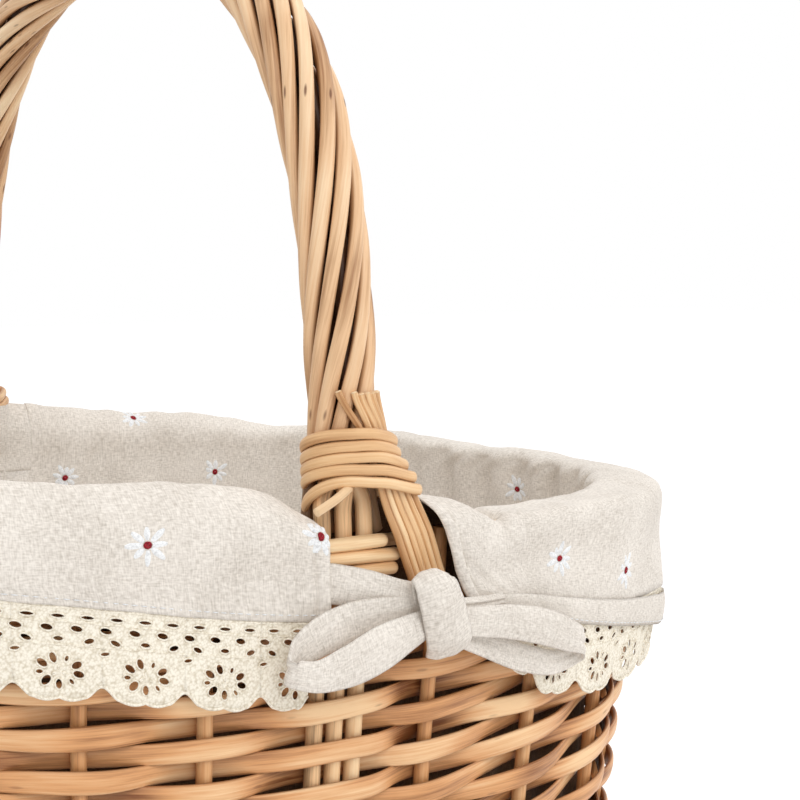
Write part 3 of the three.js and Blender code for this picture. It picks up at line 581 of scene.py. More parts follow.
STRIP_COLOURS = rgb(130, 76, 38), rgb(222, 162, 108), rgb(248, 208, 160)
HANDLE_COLOURS = rgb(152, 102, 60), rgb(230, 189, 146), rgb(250, 222, 184)
CUT_COLOURS = rgb(200, 160, 118), rgb(236, 202, 160), rgb(250, 230, 196)
# edges is how far each material darkens its marked edges towards its dark tone: painted shade.
STRIP = willow_material("willow_strip", *STRIP_COLOURS, knots=0.35, edges=0.85)
STAKE = willow_material("willow_stake", rgb(128, 76, 38), rgb(212, 152, 98), rgb(240, 194, 142))
HANDLE = willow_material("willow_handle", *HANDLE_COLOURS, knots=0.85, edges=0.9)
PALE = willow_material("willow_pale", rgb(174, 120, 72), rgb(230, 186, 136), rgb(248, 218, 174), edges=0.7)
# The core's very dark tone is mostly painted shade, taken by the bow rods inside the rope and by the packing
# rods.
CORE = willow_material("willow_core", rgb(84, 50, 26), rgb(240, 196, 146), rgb(252, 222, 178), edges=1.0)
CUT = willow_material("willow_cut_end", *CUT_COLOURS, roughness=0.7)
LINEN = linen_material("linen_cloth", rgb(194, 185, 174), rgb(240, 233, 224))
# A dark brown linen for the liner's back: painted shade for the dim gap between the cloth and the weave and
# for the notches inside the handle feet.
PAINTED_SHADE_REVERSE = linen_material("linen_reverse_painted_shade", rgb(84, 60, 42), rgb(122, 94, 70))
LACE = thread_material("lace_thread", rgb(218, 207, 186), rgb(250, 243, 228))
WHITE = thread_material("white_embroidery", rgb(216, 217, 218), rgb(244, 245, 246), rate=1500)
RED = thread_material("red_embroidery", rgb(104, 22, 32), rgb(160, 44, 54), rate=1500)


# Camera and its rays, found by fitting the photographed wall, rows and handle

CAMERA_AZIMUTH = math.radians(-28.025)
CAMERA_DISTANCE = 786.87
CAMERA_HEIGHT = RIM_HEIGHT + 96.15
FOCAL_PIXELS = 1961.93
PICTURE_SIZE = 800
PICTURE_MIDDLE = PICTURE_SIZE / 2
PITCH = math.radians(4.426)
YAW = math.radians(-7.923)
ROLL = math.radians(0.28)

heading = CAMERA_AZIMUTH + YAW
EYE = np.array([
    math.sin(CAMERA_AZIMUTH) * CAMERA_DISTANCE,
    -math.cos(CAMERA_AZIMUTH) * CAMERA_DISTANCE,
    CAMERA_HEIGHT,
])
FORWARD = np.array([
    -math.sin(heading) * math.cos(PITCH),
    math.cos(heading) * math.cos(PITCH),
    -math.sin(PITCH),
])
level_right = np.array([math.cos(heading), math.sin(heading), 0.0])
level_down = np.cross(FORWARD, level_right)
RIGHT = math.cos(ROLL) * level_right + math.sin(ROLL) * level_down
DOWN = -math.sin(ROLL) * level_right + math.cos(ROLL) * level_down


def make_camera():
    data = bpy.data.cameras.new("camera")
    data.sensor_width = 36
    data.lens = FOCAL_PIXELS / PICTURE_SIZE * data.sensor_width
    data.clip_start = 0.05
    camera = linked("camera", data)
    turn = Matrix((RIGHT, -DOWN, -FORWARD)).transposed().to_4x4()
    camera.matrix_world = Matrix.Translation(Vector(EYE * 0.001)) @ turn
    bpy.context.scene.camera = camera


def make_light(name, place, aim, size, power):
    data = bpy.data.lights.new(name, "AREA")
    data.size = size
    data.energy = power
    lamp = linked(name, data)
    direction = Vector(aim) - Vector(place)
    turn = direction.to_track_quat("-Z", "Y").to_matrix().to_4x4()
    lamp.matrix_world = Matrix.Translation(Vector(place)) @ turn


def background_rays(tree):
    """One for the rays that see the backdrop: from the camera, or by way of a gloss or a clear thing."""
    path = tree.nodes.new("ShaderNodeLightPath")
    total = path.outputs["Is Camera Ray"]
    for kind in ("Is Glossy Ray", "Is Transmission Ray"):
        most = tree.nodes.new("ShaderNodeMath")
        most.operation = "MAXIMUM"
        tree.links.new(total, most.inputs[0])
        tree.links.new(path.outputs[kind], most.inputs[1])
        total = most.outputs[0]
    return total


# The floor reaches this many metres each way
FLOOR_REACH = 6


def make_stage():
    world = bpy.data.worlds.new("studio")
    bpy.context.scene.world = world
    world.use_nodes = True
    tree = world.node_tree
    plain = tree.nodes["Background"]
    plain.inputs["Color"].default_value = (1, 1, 1, 1)
    plain.inputs["Strength"].default_value = 0.8
    seen = tree.nodes.new("ShaderNodeBackground")
    seen.inputs["Strength"].default_value = 1.0
    seen.inputs["Color"].default_value = (1, 1, 1, 1)
    join = tree.nodes.new("ShaderNodeMixShader")
    tree.links.new(background_rays(tree), join.inputs[0])
    tree.links.new(plain.outputs[0], join.inputs[1])
    tree.links.new(seen.outputs[0], join.inputs[2])
    tree.links.new(join.outputs[0], tree.nodes["World Output"].inputs["Surface"])

    mesh = bpy.data.meshes.new("floor")
    far = FLOOR_REACH
    mesh.from_pydata([(-far, -far, 0), (far, -far, 0), (far, far, 0), (-far, far, 0)], [], [(0, 1, 2, 3)])
    floor = linked("floor", mesh)
    s = Shader("pale_floor")
    s.surface.inputs["Base Color"].default_value = (0.86, 0.86, 0.86, 1)
    s.surface.inputs["Roughness"].default_value = 1
    glow = s.node("ShaderNodeEmission", {"Color": (1, 1, 1, 1), "Strength": 1.24})
    join = s.node("ShaderNodeMixShader", {0: s.maths("MULTIPLY", background_rays(s.tree), 0.7)})
    s.put(join.inputs[1], s.surface.outputs[0])
    s.put(join.inputs[2], glow.outputs[0])
    s.put(s.tree.nodes["Material Output"].inputs["Surface"], join.outputs[0])
    mesh.materials.append(s.material)

    make_light("key", (-0.35, -1.9, 1.5), (0, 0, 0.2), 1.1, 12.8)
    make_light("side", (1.9, -0.9, 1.0), (0, 0, 0.2), 1.2, 7)
    make_light("top", (0.1, 0.4, 2.2), (0, 0, 0.1), 1.6, 9)


# Woven wall

def strip_section(height, bulge, count=9):
    """Half-round outside, flat inside, from the top over the outside to the bottom and back."""
    angle = np.linspace(math.pi / 2, -math.pi / 2, count)
    outer = np.stack([np.sin(angle) * 0.5, np.cos(angle) ** 0.8], -1)
    inner = np.array([[-0.42, -1.0], [0.0, -1.0], [0.42, -1.0]])
    section = np.concatenate([outer, inner])
    scale_out = np.where(section[:, 1] > 0, bulge[:, None], 0.7)
    return section[None, :, 0] * height[:, None], section[None, :, 1] * scale_out


# Painted shade over the strip section: none at the middle of the outside, full at its top and bottom edges
# and over the flat inside.
SECTION_PAINTED_SHADE = np.concatenate([np.abs(np.linspace(-1, 1, 9)), [1, 1, 1]]) ** 2


def weave_phases(first_stake, stakes, phase):
    """Arcs along a strand, where it passes stakes, and its turn: in front at 0, behind at half a turn."""
    reach = BOW_SPACING + BOW_DIAMETER / 2
    places, phases = [], []
    for index in range(first_stake, first_stake + stakes + 1):
        arc = float(stake_arc(index))
        if index % (STAKE_COUNT // 2) == 0:
            places += [arc - reach, arc + reach]
            phases += [phase, phase]
        else:
            places.append(arc)
            phases.append(phase)
        phase += math.pi
    start, end = float(stake_arc(first_stake)), float(stake_arc(first_stake + stakes))
    arcs = np.arange(start, end, 3.2)
    return arcs, places, np.interp(arcs, places, phases)


def make_weaver(name, first_stake, front_parity):
    stakes = STAKE_COUNT * (WEAVER_ROWS - 1) // 2
    phase = 0.0 if first_stake % 2 == front_parity else math.pi
    arcs, places, turn = weave_phases(first_stake, stakes, phase)
    start = arcs[0]
    dice = np.random.default_rng(first_stake + 3)
    swing = np.interp(arcs, places, dice.uniform(0.92, 1.12, len(places)))
    out = WEAVER_OFFSET * swing * np.cos(turn)
    row = 2 * (arcs - start) / RIM_LENGTH
    drift = 0.35 * wobble(arcs, 61, 11 + first_stake)
    middle = row_height(row, arcs) + drift
    tall = 7.5 + 0.8 * np.abs(np.cos(turn)) + 0.35 * wobble(arcs, 83, 5 + first_stake)
    bulge = 1.15 + 0.35 * np.abs(np.cos(turn)) + 0.15 * wobble(arcs, 47, 9)
    rise, depth = strip_section(tall, bulge)
    tilt = 0.05 + 0.07 * wobble(arcs, 140, 21 + first_stake)
    height = middle[:, None] + rise - depth * tilt[:, None]
    offset = out[:, None] + depth + rise * tilt[:, None]
    points = wall_point(arcs[:, None], height, offset)
    # Tone wanders along the strip, and the strip is painted lighter where it passes in front of the stakes
    # and darker behind them: painted light and shade.
    tint = 0.5 + 0.3 * wobble(arcs, 95, 31 + first_stake) + 0.3 * smooth(np.cos(turn), -0.2, 1) - 0.15
    tint = np.clip(tint, 0, 1)
    shape = Shape()
    # Painted shade at the strip's top and bottom edges, on its inside, and where it runs behind the stakes.
    strip_painted_shade = np.clip(SECTION_PAINTED_SHADE[None, :] * 0.9 + 0.25 * smooth(-out[:, None], 0, 4), 0, 1)
    shape.grid(points, arcs * 0.001, tint=tint[:, None], edge=strip_painted_shade, wrap=True, caps=True)
    shape.made("willow_" + name, STRIP, "willow", name)


def make_wedge(name, first_stake, front_parity):
    """A short tapered strand that fills the step between the foot rods and the first row."""
    phase = math.pi if first_stake % 2 == front_parity else 0.0
    arcs, _, turn = weave_phases(first_stake, STAKE_COUNT // 2, phase)
    ceiling = row_height(2 * (arcs - arcs[0]) / RIM_LENGTH, arcs) - WEAVER_PITCH / 2
    tall = np.clip(ceiling - WEAVE_BOTTOM + 0.5, 0.6, 8.2)
    middle = (ceiling + WEAVE_BOTTOM) / 2
    bulge = np.minimum(1.3, tall / 3)
    rise, depth = strip_section(tall, bulge)
    offset = (WEAVER_OFFSET * np.cos(turn))[:, None] + depth
    points = wall_point(arcs[:, None], middle[:, None] + rise, offset)
    # Painted shade at the wedge's edges and inside, as on the strips.
    edge = 0.9 * SECTION_PAINTED_SHADE[None, :]
    tint = np.clip(0.45 + 0.3 * wobble(arcs, 95, 61 + first_stake), 0, 1)
    shape = Shape()
    shape.grid(points, arcs * 0.001, tint=tint[:, None], edge=edge, wrap=True, caps=True)
    shape.made("willow_" + name, STRIP, "willow")


def make_stakes():
    for index in range(STAKE_COUNT):
        if index % (STAKE_COUNT // 2) == 0:
            continue
        arc = float(stake_arc(index))
        heights = np.linspace(0.4, RIM_HEIGHT - 1.2, 40)
        lean = 0.35 * wobble(heights, 120, 300 + index)
        path = wall_point(arc + lean, heights, 0)
        radius = STAKE_DIAMETER / 2 * (1 + 0.03 * wobble(heights, 40, 400 + index))
        shape = Shape()
        add_tube(shape, path, radius, 12, tint=0.3 + 0.5 * (index * 0.37 % 1), start=(1, 0, 0))
        name = f"stake_{index:02d}"
        shape.made("willow_" + name, STAKE, "willow", name)


# Rim, foot and base

LEFT_ROD_REACH = (21.6, 21.0, 14.6)
RIGHT_ROD_START = 52.0
FOOT_ROD_RADIUS = 2.4


def make_rim():
    for course, label in enumerate(("lower", "middle", "upper")):
        height = RIM_HEIGHT - (2.5 - course) * (RIM_ROD_DIAMETER + RIM_ROD_GAP)
        spans = {
            "left": (HALF - LEFT_ROD_REACH[course], RIM_LENGTH + LEFT_ROD_REACH[course]),
            "right": (RIGHT_ROD_START, HALF - RIGHT_ROD_START),
        }
        for side, (start, end) in spans.items():
            arcs = np.arange(start, end, 4.0)
            path = wall_point(arcs, height + 0.25 * wobble(arcs, 70, course + 50), ROD_OFFSET + 0.1)
            radius = 2.4 + 0.12 * wobble(arcs, 50, course + 60)
            shape = Shape()
            add_tube(shape, path, radius, 14, tint=0.6 + 0.12 * course, ends=("round", "round"))
            name = f"rim_rod_{side}_{label}"
            shape.made("willow_" + name, PALE, "peeled_willow", name)
    shape = Shape()
    add_hoop(shape, RIM_HEIGHT - 4.5, -ROD_OFFSET, RIM_ROD_DIAMETER / 2, tint=0.5, seed=71)
    shape.made("willow_rim_rod_inside", PALE, "peeled_willow", "rim_rod_inside")


def make_foot():
    for course, label in enumerate(("lower", "middle", "upper")):
        height = FOOT_ROD_HEIGHT / 2 + course * (FOOT_ROD_HEIGHT + FOOT_ROD_GAP)
        shape = Shape()
        flat = 0.0 if course == 0 else None
        tint = 0.35 + 0.2 * course
        add_hoop(shape, height, FOOT_OFFSET, FOOT_ROD_RADIUS, tint=tint, flat=flat, seed=81 + course)
        name = f"foot_rod_{label}"
        shape.made("willow_" + name, STAKE, "willow", name)
    shape = Shape()
    add_hoop(shape, 5.0, -FOOT_OFFSET, FOOT_ROD_RADIUS, tint=0.4, seed=91)
    shape.made("willow_base_hoop", STAKE, "willow", "base_hoop")


def inside_reach(y, inset):
    """Half-length of the floor at a distance from the middle line."""
    edge = wall_point(np.linspace(0, RIM_LENGTH, 1441), 5.0, -inset)
    near = np.abs(edge[:, 1] - y) < 1.2
    return float(np.min(np.abs(edge[near, 0])))


MAT_INSET = 3.4


def make_base():
    low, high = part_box("base_mat")
    half_width = high[1] * 1000 + 4.5
    for index in range(3):
        corner, other = (np.array(c) * 1000 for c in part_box(f"base_stick_{index + 1}"))
        middle = (corner + other) / 2
        xs = np.linspace(corner[0] + 0.2, other[0] - 0.2, 60)
        path = np.stack([xs, np.full(60, middle[1]), np.full(60, middle[2])], -1)
        shape = Shape()
        add_tube(shape, path, 2.2, 12, tint=0.3 + 0.2 * index, ends=("round", "round"))
        shape.made(f"willow_base_stick_{index + 1}", STAKE, "willow", f"base_stick_{index + 1}")
    level = (low[2] + high[2]) * 500
    shape = Shape()
    sticks = np.linspace(-half_width + 12, half_width - 12, 13)
    for index, y in enumerate(sticks):
        reach = inside_reach(y, MAT_INSET) - 1
        xs = np.linspace(-reach, reach, 50)
        path = np.stack([xs, np.full(50, y), np.full(50, level)], -1)
        add_tube(shape, path, 0.8, 8, tint=0.2 + 0.05 * index)
    across = np.linspace(0, half_width - 1.5, 60)
    ends = np.array([inside_reach(y, MAT_INSET) for y in across])
    for index, x in enumerate(np.arange(-189, 190, 5.4)):
        inside = across[ends > abs(x) + 2]
        if len(inside) < 3:
            continue
        y = np.arange(-inside[-1], inside[-1], 2.0)
        wave = np.cos(math.pi * (y - sticks[0]) / (sticks[1] - sticks[0]) + math.pi * (index % 2))
        rise, depth = strip_section(np.full(len(y), 5.0), np.full(len(y), 0.35), 7)
        centre = np.stack([np.full(len(y), x), y, level + 0.85 * wave], -1)
        points = centre[:, None] + np.stack([rise, 0 * rise, depth * 0.6], -1)
        tint = 0.25 + 0.5 * (index * 0.619 % 1)
        shape.grid(points, y * 0.001, tint=tint, wrap=True, caps=True, flip=True)
    shape.made("willow_base_mat", STRIP, "willow", "base_mat")


# Handle

GATHER_START = 7.0
GATHER_END = WRAP_BASE + 5 - RIM_HEIGHT
ROPE_START = WRAP_BASE + 4 - RIM_HEIGHT


def make_handle():
    distances = np.concatenate([
        np.linspace(0, 24, 13)[:-1],
        np.linspace(24, HANDLE_LENGTH - 24, 180),
        np.linspace(HANDLE_LENGTH - 24, HANDLE_LENGTH, 13)[1:],
    ])
    from_end = np.minimum(distances, HANDLE_LENGTH - distances)
    share = smooth(from_end, GATHER_START, GATHER_END)
    for index in range(3):
        angle = math.pi / 2 + 2 * math.pi * (1 - index) / 3
        x = mix((index - 1) * BOW_SPACING, BUNDLE_RADIUS * math.cos(angle), share * share)
        n = mix(0, BUNDLE_RADIUS * math.sin(angle), share)
        arch = handle_point(distances, x, n)
        foot = (index - 1) * BOW_SPACING
        heights = np.linspace(0.4, RIM_HEIGHT, 40)[:-1]
        near = wall_point(foot + 0 * heights, heights, 0)
        far = wall_point(HALF - foot + 0 * heights, heights, 0)[::-1]
        path = np.concatenate([near, arch, far])
        shape = Shape()
        add_tube(shape, path, 2.95, 14, tint=0.35 + 0.2 * index, start=(1, 0, 0))
        # Painted shade: the bow rods turn fully dark from the binding upwards, where they run inside the
        # rope.
        shape.edges[-1] = 1.0 * smooth(shape.points[-1][:, 2], WRAP_BASE + 4, WRAP_TOP)
        shape.made(f"willow_handle_bow_rod_{index + 1}", CORE, "willow", f"handle_bow_rod_{index + 1}")
    distances = np.linspace(ROPE_START, HANDLE_LENGTH - ROPE_START, 300)
    for index in range(ROPE_COUNT):
        wander = 0.055 * wobble(distances, 190, 500 + index)
        turn = 2 * math.pi * (index / ROPE_COUNT + (distances - ROPE_START) / ROPE_LAY) + wander
        near_end = np.minimum(distances, HANDLE_LENGTH - distances) + RIM_HEIGHT
        radius = ROPE_RADIUS + 0.12 * wobble(distances, 90, 520 + index)
        radius = radius - SQUEEZE * (1 - smooth(near_end, WRAP_TOP - 2, WRAP_TOP + 34))
        path = handle_point(distances, -radius * np.sin(turn), -radius * np.cos(turn))
        thick = ROPE_DIAMETER / 2 * (1 + 0.06 * wobble(distances, 150, 540 + index) + 0.02)
        shape = Shape()
        tint = np.clip(0.5 + 0.3 * wobble(distances, 170, 560 + index) + 0.12 * (index % 3 - 1), 0, 1)
        # Painted shade on each roping rod's side towards the middle of the handle and on its flanks, where
        # the rods lie against each other.
        middle = handle_point(distances, 0, 0)
        add_tube(shape, path, thick, 14, tint=tint[:, None], outward=unit(path - middle))
        name = f"handle_roping_rod_{index + 1}"
        shape.made("willow_" + name, HANDLE, "peeled_willow", name)


FEET = (("near", False), ("far", True))
PACKING_RADIUS = 2.3
PACKING_PLACES = ((-10.4, -7.2), (-5.6, -7.4), (-0.5, -7.4), (4.6, -7.4), (9.6, -7.2), (14.4, -1.4))


def mirrored(points, flip=True):
    return points * np.array([1, -1, 1]) if flip else points


def make_packing():
    """Short rods behind the bow rods at each foot, which fill the handle below its binding and are coloured
    dark as painted shade.
    """
    for side, flip in FEET:
        shape = Shape(0.3)
        for index, (x, n) in enumerate(PACKING_PLACES):
            heights = np.linspace(RIM_HEIGHT - 1.5, WRAP_BASE + 8, 12)
            path = handle_point(heights - RIM_HEIGHT, x * (1 - 0.012 * (heights - RIM_HEIGHT)), n)
            path = mirrored(path, flip)
            add_tube(shape, path, PACKING_RADIUS, 12, tint=0.2 + 0.1 * index, start=(1, 0, 0))
        # Painted shade: every packing rod is marked dark all over.
        shape.edges = [np.full(len(points), 0.8) for points in shape.points]
        shape.made(f"willow_foot_packing_{side}", CORE, "willow")


# The rope is squeezed under the binding
SQUEEZE = 1.2
ROUND_RADIUS = HANDLE_RADIUS - SQUEEZE + 1.7
BUNDLE_TOP = WRAP_TOP + 15.5
TIP_PLACES = np.array([0.25, 1.88, 2.6, 3.36, 4.1, 5.07])
BUNDLE_STATIONS = [
    (BUNDLE_TOP, -0.76, 0.0, (7.0, 12.0), (20.4, 8.6)),
    (WRAP_TOP + 3, -0.16, 0.2, (7.0, 12.0), (20.4, 8.6)),
    (WRAP_TOP - 5, -0.03, 0.35, (7.0, 12.0), (20.4, 8.6)),
    (WRAP_BASE + 6, 0.12, 0.7, (7.0, 12.0), (20.4, 8.6)),
    (WRAP_BASE + 1, 0.25, 1.0, (7.0, 12.0), (20.8, 8.7)),
    (WRAP_BASE - 7, 0.25, 1.0, (9.3, 11.7), (24.2, 8.9)),
    (RIM_HEIGHT + 1, 0.25, 1.0, (14.0, 10.7), (29.4, 8.0)),
    (RIM_HEIGHT - 7, 0.25, 1.0, (18.0, 10.0), (33.3, 7.6)),
    (WEAVE_TOP, 0.25, 1.0, (21.6, 10.0), (36.6, 7.3)),
    (WEAVE_TOP - 5, 0.25, 1.0, (23.8, 10.0), (39.2, 7.6)),
]


def bundle_spots(height):
    """Places of the bundle's rods at a height: across and outwards from the handle's middle line."""
    rows = []
    share = np.linspace(0, 1, BUNDLE_RODS)[:, None]
    for level, turn, spread, first, last in BUNDLE_STATIONS:
        places = mix(np.arange(BUNDLE_RODS), TIP_PLACES, smooth(level, WRAP_TOP, BUNDLE_TOP))
        angle = turn + places * 3.4 / ROUND_RADIUS
        around = np.stack([np.sin(angle), np.cos(angle)], -1) * ROUND_RADIUS
        flat = mix(np.array(first), np.array(last), share)
        rows.append(mix(around, flat, spread))
    levels = [-station[0] for station in BUNDLE_STATIONS]
    rows = np.array(rows)
    spots = [[np.interp(-height, levels, rows[:, i, k]) for k in range(2)] for i in range(BUNDLE_RODS)]
    return np.array(spots)


def wrap_point(turn):
    """The binding is drawn tight round the handle and the bundle, and higher in front than behind."""
    tuck = WRAP_TAIL_DROP * float(smooth(turn, WRAP_TURNS - 0.42, WRAP_TURNS))
    level = WRAP_BASE + (WRAP_TURNS - 1 - turn) * WRAP_PITCH - tuck
    way = np.array([math.sin(math.pi * (1 - 2 * turn)), math.cos(math.pi * (1 - 2 * turn))])
    round_handle = way * (HANDLE_RADIUS - SQUEEZE + 0.2 + WRAP_DEPTH)

    def lifted(spot):
        return level + WRAP_TILT * (0.83 * spot[1] - 0.55 * spot[0])

    best = round_handle
    for _ in range(2):
        edges = [round_handle]
        edges += [spot + way * (1.6 + 0.1 + WRAP_DEPTH) for spot in bundle_spots(lifted(best))]
        best = max(edges, key=lambda edge: edge.dot(way))
    return np.array([best[0], best[1], lifted(best)])


def wrap_path():
    spots = np.array([wrap_point(turn) for turn in np.linspace(0, WRAP_TURNS - 0.13, 700)])
    steps = np.concatenate([[0], np.cumsum(np.linalg.norm(np.diff(spots, axis=0), axis=1))])
    even = np.linspace(0, steps[-1], 420)
    spots = np.stack([np.interp(even, steps, spots[:, k]) for k in range(3)], -1)
    spots = softened(spots, 7)
    height = spots[:, 2] + 0.3 * wobble(even, 70, 601)
    return handle_point(height - RIM_HEIGHT, spots[:, 0], spots[:, 1])


LOOSE_END_RADIUS = 1.5
LOOSE_END = (
    (-3.5, 10.2, 207), (-7.5, 11.9, 205.2), (-11, 12.8, 203.5), (-15, 12.8, 201.5), (-19, 12.4, 199.5),
)


def make_binding():
    path = wrap_path()
    loose = np.array([
        handle_point(height - RIM_HEIGHT, x, n)
        for x, n, height in LOOSE_END
    ])
    for side, flip in FEET:
        shape, ends = Shape(), Shape()
        add_strand(shape, mirrored(path, flip), UP, WRAP_HALF_HEIGHT, WRAP_DEPTH, tint=0.5)
        line = mirrored(through(loose, 14), flip)
        add_tube(ends, line, LOOSE_END_RADIUS, 12, tint=0.62, ends=("round", "flat"))
        shape.made(f"willow_handle_binding_{side}", PALE, "peeled_willow", f"handle_binding_{side}")
        ends.made(f"willow_binding_tail_{side}", CUT, "peeled_willow")


def make_bundles():
    heights = np.linspace(BUNDLE_TOP, WEAVE_TOP - 5, 80)
    dice = np.random.default_rng(77)
    for side, flip in FEET:
        shape, tips = Shape(), Shape()
        for index in range(BUNDLE_RODS):
            spots = np.array([bundle_spots(height)[index] for height in heights])
            spots = softened(spots, 9)
            tops = heights + dice.uniform(-0.9, 0.9) * smooth(heights, WRAP_TOP + 4, BUNDLE_TOP)
            above = handle_point(tops - RIM_HEIGHT, spots[:, 0], spots[:, 1])
            below = wall_point(spots[:, 0], tops, spots[:, 1])
            path = np.where((tops < RIM_HEIGHT)[:, None], below, above)[::-1]
            path = mirrored(path, flip)
            thick = mix(1.17, 1.32, smooth(-heights[::-1], -WRAP_BASE, -WRAP_BASE + 16))
            # Painted shade on each bundle rod's side towards the basket and on its flanks, between
            # neighbouring rods.
            outward = np.broadcast_to(np.array([0, 1.0 if flip else -1.0, 0]), path.shape)
            add_tube(shape, path, thick, 12, tint=0.22 + 0.5 * (index * 0.618 % 1), outward=outward)
            end = unit(path[-1] - path[-2])
            cap = path[-1] + end * np.array([[0.0], [0.25]])
            add_tube(tips, cap, np.array([1.12, 0.9]), 12, tint=0.7, start=(1, 0, 0))
        shape.made(f"willow_bundle_{side}", PALE, "peeled_willow", f"bundle_{side}")
        tips.made(f"willow_bundle_tips_{side}", CUT, "peeled_willow")


# Cloth

def from_foot(arc):
    arc = np.mod(arc, RIM_LENGTH)
    return np.minimum(np.minimum(arc, RIM_LENGTH - arc), np.abs(arc - HALF))


RIGHT_CREST = (
    [
        0, 24, 40, 49, 58, 68, 101, 190, 330, 384, 432,
        448, 464, 474, 484, 500, 520, 536, 556, 570, 586, 600,
    ],
    [
        12, 11, 9.8, 6.5, 3.4, 2.2, 1.5, 1, 1.2, 4.8, 8.4,
        7.2, 11, 13.5, 15.2, 16, 17, 19, 21.5, 23, 24.8, 25.2,
    ],
)
LEFT_CREST = (
    [0, 11, 18.5, 26.5, 32, 41, 55.5, 89, 104.5, 120, 200, 330, 450, 540, 600],
    [1, 3.4, 8, 12, 15.6, 19, 21, 23, 23.8, 25.2, 25, 23, 22, 24, 25.2],
)


def crest_height(arc):
    """Height of the roll above the rim, measured in the photograph and carried on round the back."""
    arc = np.mod(arc, RIM_LENGTH)
    right = sum(np.interp(arc + shift, *RIGHT_CREST) for shift in (-4, 0, 4)) / 3
    left = sum(np.interp(RIM_LENGTH - arc + shift, *LEFT_CREST) for shift in (-4, 0, 4)) / 3
    return np.where(arc > HALF, left, right)


def hem_height(arc):
    away = from_foot(arc)
    left = mix(27.5, 6, smooth(away, -5, 165))
    right = mix(30, 41, smooth(away, 50, 130))
    return RIM_HEIGHT - np.where(np.mod(arc, RIM_LENGTH) > HALF, left, right)


BAND_PLACES = [50, 56, 71, 76.5, 87.5, 100, 112, 136, 154, 187, 215]
BAND_LOW = [160.4, 159.6, 157.2, 155.9, 152.4, 148.2, 145.6, 140.9, 137.9, 132.2, 130.9]
BAND_TOP = [165, 164.6, 163.3, 162.4, 160.2, 157.7, 155.5, 151.6, 149.4, 145.6, 143.2]


def eased(arc, values):
    away = from_foot(arc)
    sides = sum(np.interp(away + shift, BAND_PLACES, values) for shift in (-7, 0, 0, 7))
    return sides / 4


def band_low(arc):
    return eased(arc, BAND_LOW)


def band_top(arc):
    return eased(arc, BAND_TOP)


def fold(arc):
    return 0.7 * np.sin(arc / 17) + 0.5 * np.sin(arc / 9.5 + 1)


def on_right(arc):
    return np.mod(arc, RIM_LENGTH) < HALF


def right_end(arc):
    """One round the right end of the basket, where the roll is broad and the hem flares."""
    return smooth(from_foot(arc), 120, 200) * on_right(arc)


LEFT_EDGES = [17, 17, 17, 14.5, 13, 11.4]
RIGHT_EDGES = [24, 25, 27, 31, 40.5, 50]


def cloth_controls(arc):
    """Heights and offsets of the cloth's section, from the middle of the floor to the hem."""
    crest, hem = crest_height(arc), hem_height(arc)
    rim = RIM_HEIGHT + 0 * arc
    heights = [
        FLOOR_HEIGHT + 0 * arc, FLOOR_HEIGHT + 0 * arc, FLOOR_HEIGHT + 12 + 0 * arc, 100 + 0 * arc,
        rim - 6, rim + 0.6 * crest, rim + crest, rim + 0.6 * crest, mix(rim, hem, 0.5), hem,
    ]
    outs = [-65.0, -LINER_INSET - 12, -LINER_INSET - 3.5, -LINER_INSET - 1.5, -LINER_INSET,
            -LINER_INSET + 2, 1.5, FLAP_OFFSET, FLAP_HANG, FLAP_HANG]
    outs = [value + 0 * arc for value in outs]
    broad = right_end(arc)
    heights[5] = heights[5] + 0.35 * broad * crest
    heights[6] = heights[6] + 0.8 * broad
    heights[7] = heights[7] - 2.0 * broad
    for place, shift in ((4, -7.0), (5, -10.0), (6, -2.5), (7, 0.0), (8, 1.6), (9, 6.0)):
        outs[place] = outs[place] + shift * broad
    outs[8] = outs[8] + fold(arc)
    outs[9] = outs[9] + fold(arc)
    return np.stack([np.stack(heights), np.stack(outs)], -1)


def cloth_at(arc, level):
    """Height, offset and length down the cloth for a column place and a level from 0 to 9."""
    points = cloth_controls(arc)
    gaps = np.maximum(np.linalg.norm(np.diff(points, axis=0), axis=-1), 0.5)
    slopes = np.zeros_like(points)
    steps = np.diff(points, axis=0) / gaps[..., None]
    weight = (gaps[:-1] / (gaps[:-1] + gaps[1:]))[..., None]
    slopes[1:-1] = steps[:-1] * (1 - weight) + steps[1:] * weight
    slopes[0], slopes[-1] = steps[0], steps[-1]
    i = min(int(level), 8)
    t, length = level - i, gaps[i][..., None]
    value = between(points, slopes, i, t, length)
    down = gaps[:i].sum(0) + t * gaps[i]
    return value[..., 0], value[..., 1], down


PUCKER_PLACE = 61.5
PULL_PLACE = 70
PULL_WIDTH = 26


